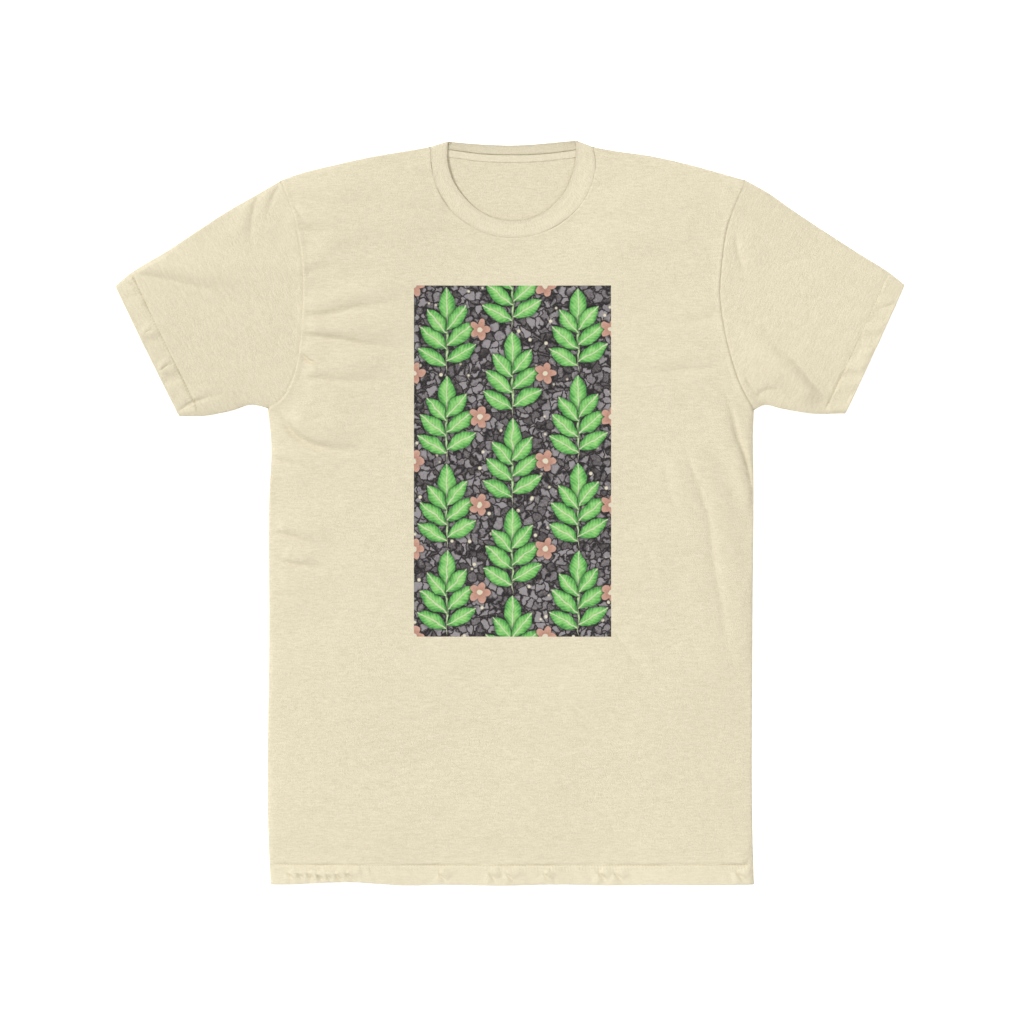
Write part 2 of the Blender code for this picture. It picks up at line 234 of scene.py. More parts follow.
class Plan:
    """The lines of the whole shirt as smooth curves."""

    def __init__(self) -> None:
        """Make every curve once."""
        self.lines = {
            side: {name: smooth_curve(points) for name, points in vars(plan).items()}
            for side, plan in PLANS.items()
        }
        self.hem = smooth_curve(HEM_LINE)
        self.front_seam = smooth_curve(FRONT_SEAM, 2.0)
        self.front_edge = smooth_curve(FRONT_EDGE, 2.0)
        self.back_seam = smooth_curve(BACK_SEAM, 2.0)
        self.back_edge = smooth_curve(BACK_EDGE, 2.0)

    def cuff(self, side: Side) -> Array:
        """The line of a cuff, from its underside to its top."""
        lines = self.lines[side]
        return np.array([lines["underarm"][-1], lines["sleeve_top"][-1]])

    def into(self, side: Side) -> Array:
        """The direction from a cuff into its sleeve."""
        run = np.diff(self.cuff(side), axis=0)[0]
        return np.array([-run[1], run[0]]) / np.linalg.norm(run) * side.value

    def closed_below(self, side: Side) -> Array:
        """The closed edge below a sleeve, from the hem to the cuff."""
        lines = self.lines[side]
        return joined(lines["side_seam"], lines["underarm"])

    def closed_above(self, side: Side) -> Array:
        """The closed edge above a sleeve, from the cuff to the collar's corner.

        Args:
            side: The side of the shirt.

        Returns:
            The points of the edge.
        """
        lines = self.lines[side]
        corner = self.front_edge[-1 if side is Side.LEFT else 0]
        return np.vstack([lines["sleeve_top"][::-1], lines["shoulder"][::-1][1:], corner[None]])

    def body_loop(self, layer: Layer) -> list[tuple[str, Array]]:
        """The outline of a body panel, anticlockwise from the hem's right corner, as named stretches.

        Args:
            layer: The layer of the shirt.

        Returns:
            The stretches, each with its name.
        """
        left, right = self.lines[Side.LEFT], self.lines[Side.RIGHT]
        neck = self.front_seam if layer is Layer.FRONT else self.back_seam
        return [
            ("hem", self.hem),
            ("closed", left["side_seam"]),
            ("armhole", left["armhole"]),
            ("closed", left["shoulder"][::-1]),
            ("neck", neck[::-1]),
            ("closed", right["shoulder"]),
            ("armhole", right["armhole"][::-1]),
            ("closed", right["side_seam"][::-1]),
        ]

    def sleeve_loop(self, side: Side) -> list[tuple[str, Array]]:
        """The outline of a sleeve, anticlockwise, as named stretches.

        Args:
            side: The side of the shirt.

        Returns:
            The stretches, each with its name.
        """
        lines = self.lines[side]
        loop = [
            ("closed", lines["underarm"]),
            ("cuff", self.cuff(side)),
            ("closed", lines["sleeve_top"][::-1]),
            ("armhole", lines["armhole"][::-1]),
        ]
        if side is Side.LEFT:
            return loop
        return [(name, line[::-1]) for name, line in reversed(loop)]


# The lie of the cloth.


@dataclass(frozen=True)
class Ridge:
    """A ridge beside a line, or a furrow where its height is negative.

    Attributes:
        height: Its height.
        place: Its distance from the line.
        width: Its half width.
    """

    height: float
    place: float
    width: float

    def relief(self, apart: Array) -> Array:
        """Its height at points that are so far from the line."""
        return self.height * np.exp(-(((apart - self.place) / self.width) ** 2))


@dataclass(frozen=True)
class Crease:
    """A crease in the front: a narrow furrow, with a broad swell on one side and a low one on the other.

    Attributes:
        path: Its line in plan, from its strong end to its weak one.
        height: The depth of its furrow.
        width: The half width of its furrow.
        low_side: The side of its low swell, 1 on the right of the line and -1 on the left.
        sharp: How deep the furrow is beside the swells; a soft fold has little of it.
        low: How high the low swell is.
    """

    path: PlanPoints
    height: float
    width: float
    low_side: int = 1
    sharp: float = 0.9
    low: float = 0.4

    def relief(self, xy: Array) -> Array:
        """The height that the crease adds at plan points.

        Args:
            xy: The plan points.

        Returns:
            The height of each point.
        """
        line = smooth_curve(self.path, 6.0)
        _, signed, run, _ = nearest_on(line, xy)
        share = run / length_of(line)
        taper = smoothstep(share / 0.16) * smoothstep((1 - share) / 0.6)
        across = signed * self.low_side / (self.width * (0.75 + 0.8 * share))
        profile = (Ridge(0.85, -2.0, 2.0), Ridge(self.low, 2.4, 2.0), Ridge(-self.sharp, 0.0, 0.55))
        return self.height * taper * sum(ridge.relief(across) for ridge in profile)

    def rows(self) -> list[Array]:
        """Rows of points along it, which a crease narrower than the mesh's spacing needs.

        Returns:
            The rows, none for a wider crease.
        """
        if self.width > NARROW:
            return []
        line = smooth_curve(self.path, 0.9)
        along = np.gradient(line, axis=0)
        aside = np.stack([along[:, 1], -along[:, 0]], axis=1) / np.linalg.norm(along, axis=1, keepdims=True)
        return [line + aside * away for away in NARROW_ROWS]


CREASES = [
    # The wearer's right of the body, from the armhole and the armpit.
    Crease([(-212, 192), (-180, 198), (-150, 204), (-84, 210)], 5.2, 6.0, 1, 0.3),
    Crease([(-214, 176), (-185, 174), (-160, 170), (-92, 162)], 4.2, 5.0, 1, 0.5),
    Crease([(-212, 161), (-199, 151), (-182, 141)], 2.6, 2.9),
    Crease([(-209, 134), (-170, 130), (-112, 136)], 4.2, 6.0, 1, 0.3),
    Crease([(-213, 235), (-190, 243), (-162, 248)], 1.5, 4.5, 1, 0.5),
    Crease([(-221, 310), (-213, 303), (-204, 290)], 1.1, 2.8),
    Crease([(-236, 317), (-190, 308), (-106, 313)], 3.4, 6.0, 1, 0.2),
    Crease([(-228, 288), (-195, 283), (-132, 290)], 2.8, 6.0, 1, 0.2),
    Crease([(-232, 99), (-216, 79), (-197, 66), (-174, 61), (-132, 70)], 5.0, 8.0, 1, 0.8, 0.1),
    Crease([(-240, 54), (-216, 47), (-186, 32)], 1.6, 4.0),
    Crease([(-238, -18), (-214, -26), (-184, -40)], 2.4, 4.5),
    Crease([(-230, -48), (-210, -55), (-182, -57)], 2.4, 4.2, 1, 0.9, 0.2),
    Crease([(-240, -82), (-220, -84), (-200, -84)], 1.0, 3.5),
    # The wearer's left of the body.
    Crease([(252, -4), (243, 28), (235, 57), (225, 84), (212, 140)], 3.6, 4.6),
    Crease([(168, 78), (193, 15), (211, -90), (234, -225)], 2.2, 7.0, 1, 0.6),
    Crease([(152, 50), (165, 8), (179, -40)], 1.4, 6.0, 1, 0.4),
    Crease([(122, -16), (138, -44), (156, -76)], 1.5, 5.5, 1, 0.4),
    Crease([(103, -116), (128, -155), (154, -196)], 1.3, 7.0),
    Crease([(40, -172), (70, -202), (100, -234)], 1.2, 7.0),
    Crease([(188, -252), (199, -276), (212, -300)], 0.8, 4.5, 1, 0.4),
    Crease([(212, 146), (160, 139), (96, 142)], 1.2, 6.0, -1),
    Crease([(212, 196), (180, 190), (140, 186)], 0.9, 6.0, -1),
    Crease([(243, -334), (238, -352), (222, -367)], 1.2, 3.5),
    # Across the chest, and close to the neck.
    Crease([(-196, 258), (-130, 266), (-50, 256)], 2.4, 8.0, 1, 0.15),
    Crease([(-60, 296), (-90, 303), (-150, 300)], 2.2, 6.0, -1, 0.2),
    Crease([(66, 300), (110, 292), (170, 300)], 2.2, 7.0, 1, 0.2),
    Crease([(196, 262), (140, 256), (70, 262)], 2.0, 8.0, -1, 0.15),
    Crease([(-104, 342), (-88, 337), (-70, 327)], 1.2, 4.0),
    Crease([(72, 334), (82, 326), (96, 318)], 0.9, 4.0),
    # The sleeve on the wearer's right.
    Crease([(-388, 239), (-320, 227), (-250, 202)], 6.5, 5.8, 1, 0.15, 0.1),
    Crease([(-248, 328), (-255, 300), (-260, 256)], 2.4, 4.6, -1, 0.5),
    Crease([(-230, 330), (-238, 308), (-243, 284)], 1.2, 3.5, -1),
    Crease([(-336, 98), (-314, 110), (-280, 122)], 1.5, 2.9, 1),
    Crease([(-367, 177), (-360, 180), (-352, 184)], 1.0, 1.7),
    Crease([(-350, 141), (-343, 146), (-334, 151)], 1.5, 1.7),
    # The sleeve on the wearer's left.
    Crease([(317, 113), (290, 142), (262, 172), (232, 204)], 9.5, 6.5, 1, 0.1, 0.05),
    Crease([(224, 280), (230, 254), (238, 220)], 1.6, 5.0),
    Crease([(236, 138), (243, 126), (262, 108)], 1.6, 3.5, -1),
    Crease([(246, 116), (256, 122), (276, 121)], 1.2, 3.5),
    Crease([(216, 330), (228, 319), (244, 309)], 1.2, 3.5),
    Crease([(386, 208), (378, 205), (367, 204)], 1.3, 2.2),
    Crease([(366, 166), (358, 164), (348, 165)], 1.3, 2.2),
    # The hem.
    *(Crease([(x, -361.0), (x + 4.5, -365), (x + 9.5, -370.5)], 2.6, 2.1) for x in HEM_PUCKERS),
]


@dataclass(frozen=True)
class Ripple:
    """Unevenness of the cloth as it was smoothed out by hand.

    Attributes:
        across: The size of its swells along X.
        along: The size of its swells along Y.
        height: How high they are.
        seed: A height in the noise of its own.
    """

    across: float
    along: float
    height: float
    seed: float

    def relief(self, xy: Array) -> Array:
        """The height that it adds at plan points."""
        at = [Vector((x / self.across, y / self.along, self.seed)) for x, y in xy]
        return self.height * np.array([noise.noise(p) for p in at])


# From the broad unevenness of the whole shirt to that of its surface.
RIPPLES = [
    Ripple(150.0, 120.0, 2.4, 3.1),
    Ripple(70.0, 44.0, 1.2, 7.7),
    Ripple(30.0, 17.0, 0.36, 11.3),
    Ripple(13.0, 8.0, 0.10, 17.9),
]

# How far a crease wanders from its drawn line, along X and along Y.
WANDER = (Ripple(38.0, 38.0, 3.0, 23.0), Ripple(38.0, 38.0, 3.0, 29.0))

# The body's cloth stands up beside the armhole's seam and the neck's, and dips into them.
ARMHOLE_SEAM = (Ridge(0.75, -2.2, 2.1), Ridge(-0.70, 0.3, 0.9))
NECK_SEAM = (Ridge(0.42, 1.9, 1.1), Ridge(-0.3, 0.0, 0.8))


@dataclass(frozen=True)
class Turning:
    """A turned-up hem or cuff: a low band, with rows of stitches that gather it a little.

    Attributes:
        gather: The pitch of its puckers.
        height: How high they are.
        puff: How far the cloth beside the upper row stands proud.
        ease: How much looser the upper row is away from its start.
    """

    gather: float
    height: float
    puff: float
    ease: float = 0.0

    def relief(self, inward: Array, run: Array) -> Array:
        """The height that it adds.

        Args:
            inward: The distance of each point from the hem's edge.
            run: Its place along the hem.

        Returns:
            The height of each point.
        """
        low, high = STITCH_ROWS
        tight = 0.72 + 0.3 * np.sin(run / 17.0) + 0.2 * np.sin(run / 5.9 + 2.0)
        tight *= 1.0 - self.ease * smoothstep((run - 20.0) / 25.0)
        above = tight * Ridge(self.puff, high + 2.4, 1.7).relief(inward)
        beat = np.cos(2 * math.pi * run / STITCH_PITCH)
        furrows = Ridge(0.10, low, 1.0).relief(inward)
        furrows = furrows + tight * Ridge(1.25 - 0.2 * self.puff, high, 0.85).relief(inward)
        furrows *= 1.0 + 0.6 * beat
        ribbed = 0.4 * beat * smoothstep((inward - low + 0.8) / 1.2) * smoothstep((high - 0.4 - inward) / 1.2)
        uneven = 1.9 * np.sin(run / 21.0) + 1.1 * np.sin(run / 7.3 + 1.0)
        pucker = np.sin(2 * math.pi * (run + 0.45 * inward) / self.gather + uneven)
        pucker *= self.height * (0.6 + 0.4 * np.sin(run / 33.0))
        inside = smoothstep((HEM_DEPTH - inward) / 5.0) * smoothstep(inward / 4.0)
        band = 0.3 * smoothstep((high - 0.5 - inward) / 3.0)
        return band + above - furrows + ribbed + pucker * inside


BODY_HEM = Turning(14.0, 0.45, 0.8)
CUFFS = {Side.LEFT: Turning(27.0, 1.2, 0.1, 0.65), Side.RIGHT: Turning(27.0, 1.2, 0.1)}


@dataclass(frozen=True)
class Lie:
    """How the shirt lies: the heights of its two layers, as laws of the distance to a closed edge.

    Attributes:
        plan: The lines of the shirt.
        fold_height: The height of the closed edges, where front and back turn into each other.
        fold_reach: How far from a closed edge the cloth's turn ends.
        fold_share: The share of the rise that is in the turn.
        loft: The height of the front far from the edges.
        loft_reach: How slowly the front rises to it.
        neck_loss: How much lower the front lies at the neck, round neck_loss_centre to neck_loss_reach.
        wave_height: The height of the open hem's broad waves, which die out within wave_reach.
        hem_waves: How many of them there are over the body's width.
        width: The body's width.
        relief_fade: Within what distance of a closed edge the creases fade.
    """

    plan: Plan
    fold_height: float = 2.4
    fold_reach: float = 4.5
    fold_share: float = 0.19
    loft: float = 12.0
    loft_reach: float = 45.0
    neck_loss: float = 9.0
    neck_loss_centre: tuple[float, float] = (2.0, 330.0)
    neck_loss_reach: float = 100.0
    width: float = 485.0
    wave_height: float = 1.1
    wave_reach: float = 70.0
    hem_waves: float = 3.25
    relief_fade: float = 6.0

    def distance(self, xy: Array) -> tuple[Array, Array]:
        """Plan points' distances to the closed edges and the direction out of the shirt there.

        Args:
            xy: The plan points.

        Returns:
            The distances and the directions.
        """
        total = np.zeros(len(xy))
        nearest = np.full(len(xy), np.inf)
        out = np.zeros((len(xy), 2))
        for side in Side:
            turn = side.value
            for line in (self.plan.closed_below(side), self.plan.closed_above(side)):
                apart, _, _, right = nearest_on(line, xy)
                total += np.maximum(apart, 1e-3) ** -4.0
                nearer = apart < nearest
                nearest[nearer] = apart[nearer]
                out[nearer] = right[nearer] * turn
        return total ** (-1 / 4.0), out

    def turn(self, distance: Array) -> tuple[Array, Array]:
        """The cosine and sine of the cloth's turn round a fold."""
        cosine = 1.0 - np.minimum(distance / self.fold_reach, 1.0)
        return cosine, np.sqrt(1.0 - cosine**2)

    def past(self, distance: Array) -> Array:
        """How far the cloth has come out of its turn, from 0 to 1."""
        return smoothstep((distance - 0.6 * self.fold_reach) / (0.8 * self.fold_reach))

    def round_folds(self, normal: Array, distance: Array, out: Array, facing: Array | int) -> Array:
        """Turn the normals of a face round the closed edges.

        Args:
            normal: The face's own normals.
            distance: The distance of each point to a closed edge.
            out: The direction out of the shirt there.
            facing: 1 where the face looks up, and -1 where it looks down.

        Returns:
            The normals.
        """
        cosine, sine = self.turn(distance)
        fold = np.column_stack([out * cosine[:, None], sine * facing])
        past = self.past(distance)[:, None]
        turned = past * normal + (1 - past) * fold
        return turned / np.linalg.norm(turned, axis=1, keepdims=True)

    def front(self, xy: Array, distance: Array) -> Array:
        """The height of the front's outer face without its creases.

        Args:
            xy: The plan points.
            distance: Their distances to the closed edges.

        Returns:
            The height of each point.
        """
        apart = ((xy - self.neck_loss_centre) ** 2).sum(axis=1)
        loft = self.loft - self.neck_loss * np.exp(-apart / (2 * self.neck_loss_reach**2))
        slow = 1.0 - np.exp(-distance / self.loft_reach)
        rise = self.fold_share * self.turn(distance)[1] + (1 - self.fold_share) * slow
        wave = np.cos(2 * math.pi * self.hem_waves * xy[:, 0] / self.width)
        wave *= np.exp(-(xy[:, 1] - HEM_Y) / self.wave_reach)
        return self.fold_height + (loft - self.fold_height) * rise + self.wave_height * wave * slow

    def relief(self, xy: Array, distance: Array) -> Array:
        """The creases and ripples of the front.

        Args:
            xy: The plan points.
            distance: Their distances to the closed edges.

        Returns:
            The height of each point.
        """
        wander = np.stack([ripple.relief(xy) for ripple in WANDER], axis=1)
        total = sum(crease.relief(xy + wander) for crease in CREASES)
        total = total + sum(ripple.relief(xy) for ripple in RIPPLES)
        return total * smoothstep(distance / self.relief_fade)

    def seams(self, xy: Array, distance: Array) -> Array:
        """The relief of the seams and hems that both the body and the sleeves take.

        Args:
            xy: The plan points.
            distance: Their distances to the closed edges.

        Returns:
            The height of each point.
        """
        total = np.zeros(len(xy))
        for side in Side:
            _, signed, _, _ = nearest_on(self.plan.lines[side]["armhole"], xy)
            signed = signed * side.value
            tight = np.ones(len(xy))
            if side is Side.LEFT:
                tight = 0.3 + 0.7 * smoothstep((326.0 - xy[:, 1]) / 40.0)
                tight += 0.7 * smoothstep((165.0 - xy[:, 1]) / 50.0)
            total += sum(ridge.relief(signed) for ridge in ARMHOLE_SEAM) * tight
            inward, _, run, _ = nearest_on(self.plan.cuff(side), xy)
            total += CUFFS[side].relief(inward, run)
        total += BODY_HEM.relief(xy[:, 1] - HEM_Y, xy[:, 0])
        return total * smoothstep(distance / 3.0)

    def top(self, xy: Array, distance: Array) -> Array:
        """The height of the front's outer face with all its relief."""
        return self.front(xy, distance) + self.relief(xy, distance) + self.seams(xy, distance)

    def back_furrows(self, xy: Array) -> Array:
        """How far the rows of stitches draw the back's outer face up."""
        inward = [xy[:, 1] - HEM_Y] + [nearest_on(self.plan.cuff(side), xy)[0] for side in Side]
        return sum(Ridge(0.35, row, 1.0).relief(apart) for apart in inward for row in STITCH_ROWS)

    def back(self, distance: Array) -> Array:
        """The height of the back's outer face: on the floor, and turned up at a fold."""
        return self.fold_height * (1.0 - self.turn(distance)[1])


# Shells of cloth.


def area_inside(loop: list[tuple[str, Array]]) -> float:
    """The plan area inside a loop of named stretches.

    Args:
        loop: The stretches, each with its name.

    Returns:
        The area in square millimetres.
    """
    points = np.vstack([line[:-1] for _, line in loop])
    onward = np.roll(points, -1, axis=0)
    return float(abs((points[:, 0] * onward[:, 1] - points[:, 1] * onward[:, 0]).sum()) / 2)


def corner_normals(points: Array, triangles: Array) -> Array:
    """The smooth normals of a surface's points.

    Args:
        points: The points.
        triangles: Their triangles.

    Returns:
        The normals, of length 1.
    """
    a, b, c = (points[triangles[:, i]] for i in range(3))
    flat = np.cross(b - a, c - a)
    total = np.zeros(points.shape)
    for i in range(3):
        np.add.at(total, triangles[:, i], flat)
    return total / np.maximum(np.linalg.norm(total, axis=1, keepdims=True), 1e-12)


def hex_grid(outline: Array, step: float) -> Array:
    """An even grid of triangles' corners over the box of an outline.

    Args:
        outline: The outline.
        step: The spacing of the grid.

    Returns:
        The grid's points.
    """
    low, high = outline.min(axis=0), outline.max(axis=0)
    ys = np.arange(low[1], high[1], step * math.sqrt(0.75))
    xs = np.arange(low[0], high[0], step)
    return np.array([(x + (j % 2) * step / 2, y) for j, y in enumerate(ys) for x in xs])


def near_any(lines: Sequence[Array], xy: Array, reach: float) -> Array:
    """Which plan points lie within reach of any of the lines.

    Args:
        lines: The lines.
        xy: The plan points.
        reach: The reach.

    Returns:
        True for each point that does.
    """
    near = np.zeros(len(xy), bool)
    for line in lines:
        low, high = line.min(axis=0) - reach, line.max(axis=0) + reach
        boxed = np.flatnonzero(((xy > low) & (xy < high)).all(axis=1) & ~near)
        if len(boxed):
            near[boxed[nearest_on(line, xy[boxed])[0] < reach]] = True
    return near


@dataclass
class PlanMesh:
    """Plan points and triangles that fill a region.

    Attributes:
        xy: The points, first the outline's and then the others.
        triangles: The triangles, anticlockwise.
        stretch: The name of each outline point's stretch.
    """

    xy: Array
    triangles: Array
    stretch: list[str]

    @classmethod
    def fill(cls, loop: list[tuple[str, Array]], step: float, edge_step: float, fine: Sequence[Array],
             guides: Sequence[Array], lines: Sequence[Array] = ()) -> "PlanMesh":
        """Fill the region inside a loop.

        Args:
            loop: The named stretches of the outline, anticlockwise.
            step: The spacing of the points inside.
            edge_step: The spacing of the points on the outline, which is half as much along a hem or cuff.
            fine: Lines near which the points lie twice as close.
            guides: Rows of points of their own, for furrows narrower than the spacing.
            lines: Closed lines inside that edges of the mesh have to follow.

        Returns:
            The mesh.
        """
        outline, stretch = [], []
        for name, line in loop:
            points = evenly(line, edge_step / 2 if name in ("hem", "cuff") else edge_step)[:-1]
            outline.append(points)
            stretch += [name] * len(points)
        outline = np.vstack(outline)
        ring = np.vstack([outline, outline[:1]])
        ahead = np.roll(outline, -1, axis=0) - np.roll(outline, 1, axis=0)
        inward = np.stack([-ahead[:, 1], ahead[:, 0]], axis=1) / np.linalg.norm(ahead, axis=1, keepdims=True)
        free = []
        for row in EDGE_ROWS:
            points = outline + inward * row
            free.append(points[nearest_on(ring, points)[0] > 0.97 * row])
        wide, close = hex_grid(outline, step), hex_grid(outline, step / 2)
        wide = wide[~near_any(fine, wide, FINE_REACH)]
        close = close[near_any(fine, close, FINE_REACH)]
        grid = np.vstack([wide, close])
        apart, signed, _, _ = nearest_on(ring, grid)
        grid = grid[(signed < 0) & (apart > max(EDGE_ROWS) + 0.3 * step)]
        for line in lines:
            grid = grid[nearest_on(np.vstack([line, line[:1]]), grid)[0] > 0.4 * step]
        grid = grid[~near_any(guides, grid, 0.3 * step)]
        rowed = np.vstack(guides)
        _, first = np.unique(np.round(rowed / CLOSEST).astype(int), axis=0, return_index=True)
        rowed = rowed[np.sort(first)]
        apart, signed, _, _ = nearest_on(ring, rowed)
        free.append(rowed[(signed < 0) & (apart > max(EDGE_ROWS) + 0.3)])
        free.append(grid)
        count = len(outline)
        points = np.vstack([outline, *lines, *free])
        edges = []
        start = count
        for line in lines:
            edges += [(start + i, start + (i + 1) % len(line)) for i in range(len(line))]
            start += len(line)
        found = delaunay_2d_cdt([Vector(p) for p in points], edges, [list(range(count))], 1, 1e-6)
        if len(found[0]) != len(points):
            raise ValueError("the outline of a piece of cloth crosses itself")
        return cls(np.array([tuple(p) for p in found[0]]), np.array(found[2]), stretch)

    def on(self, *names: str) -> Array:
        """Which points lie on the named stretches of the outline, their far ends included.

        Returns:
            True for each point that does.
        """
        named = np.array([name in names for name in self.stretch])
        named |= np.roll(named, 1)
        return np.concatenate([named, np.zeros(len(self.xy) - len(named), bool)])


def add_mesh(name: str, points: Array, faces: Sequence[Sequence[int]]) -> bpy.types.Object:
    """A piece from points in millimetres and faces.

    Args:
        name: The piece's name.
        points: Its points.
        faces: Its faces.

    Returns:
        The piece.
    """
    mesh = bpy.data.meshes.new(name)
    mesh.from_pydata([tuple(p) for p in np.asarray(points) * MM], [], [tuple(map(int, f)) for f in faces])
    mesh.validate()
    piece = bpy.data.objects.new(name, mesh)
    bpy.context.scene.collection.objects.link(piece)
    mesh.shade_smooth()
    return piece


def add_shell(name: str, outer: Array, inner: Array, triangles: Array, bulge: Array,
              doubled: Array) -> bpy.types.Object:
    """A closed shell of cloth between two faces that share their triangles.

    Args:
        name: The piece's name.
        outer: The points of the outer face.
        inner: The points of the inner face, in the same order.
        triangles: The triangles, anticlockwise as seen from outside.
        bulge: For each point, how far and which way a border there bulges between the faces.
        doubled: For each point, how far the cloth is turned up double there, for its finish.

    Returns:
        The piece.
    """
    count = len(outer)
    directed = {(int(t[i]), int(t[(i + 1) % 3])) for t in triangles for i in range(3)}
    border = [(a, b) for a, b in directed if (b, a) not in directed]
    border.sort()
    at_border = sorted({a for a, _ in border})
    levels = (math.pi / 4, 0.0, -math.pi / 4)
    middle, rim_points = {}, []
    for level, angle in enumerate(levels):
        for a in at_border:
            half = (outer[a] - inner[a]) / 2
            middle[level, a] = 2 * count + len(rim_points)
            rim_points.append((outer[a] + inner[a]) / 2 + half * math.sin(angle) + bulge[a] * math.cos(angle))
    faces = [tuple(t) for t in triangles] + [tuple(count + i for i in t[::-1]) for t in triangles]
    for a, b in border:
        left = [a] + [middle[level, a] for level in range(3)] + [count + a]
        right = [b] + [middle[level, b] for level in range(3)] + [count + b]
        for i in range(4):
            faces.append((right[i], left[i], left[i + 1], right[i + 1]))
    piece = add_mesh(name, np.vstack([outer, inner, np.array(rim_points)]), faces)
    shares = np.concatenate([doubled, doubled, np.tile(doubled[at_border], len(levels))])
    attribute = piece.data.attributes.new("doubled", "FLOAT", "POINT")
    attribute.data.foreach_set("value", shares.astype(np.float32))
    return piece


# Materials.


def linear(hex_colour: str) -> tuple[float, float, float, float]:
    """An sRGB hex colour as linear values."""
    values = [int(hex_colour[i : i + 2], 16) / 255 for i in (1, 3, 5)]
    return tuple(v / 12.92 if v <= 0.04045 else ((v + 0.055) / 1.055) ** 2.4 for v in values) + (1.0,)


def add_node(tree: Tree, kind: str, out: int | str = 0, **settings: Any) -> Socket:
    """Add a node with its settings and its links.

    Args:
        tree: The material's nodes.
        kind: The node's type, without the word that all the types start with.
        out: The output that is wanted, by its number or name.
        **settings: Its properties by name, and its inputs by name, which starts with a capital, or by i and a
            number. An input is given a socket to link or a value.

    Returns:
        The socket of the output.
    """
    node = tree.nodes.new("ShaderNode" + kind)
    for key, value in settings.items():
        if key[0].islower() and not key[1:].isdigit():
            setattr(node, key, value)
            continue
        socket = node.inputs[int(key[1:]) if key[0] == "i" else key.replace("_", " ")]
        if isinstance(value, Socket):
            tree.links.new(value, socket)
        else:
            socket.default_value = value
    return node.outputs[out]


def set_stops(ramp: bpy.types.ColorRamp, low: tuple[float, str], middle: tuple[float, str],
              high: tuple[float, str]) -> None:
    """Give a colour ramp three stops, each a place and a colour.

    Args:
        ramp: The ramp.
        low: The first stop.
        middle: The stop between them.
        high: The last stop.
    """
    for element, (place, colour) in zip(ramp.elements, (low, high)):
        element.position = place
        element.color = linear(colour)
    ramp.elements.new(middle[0]).color = linear(middle[1])


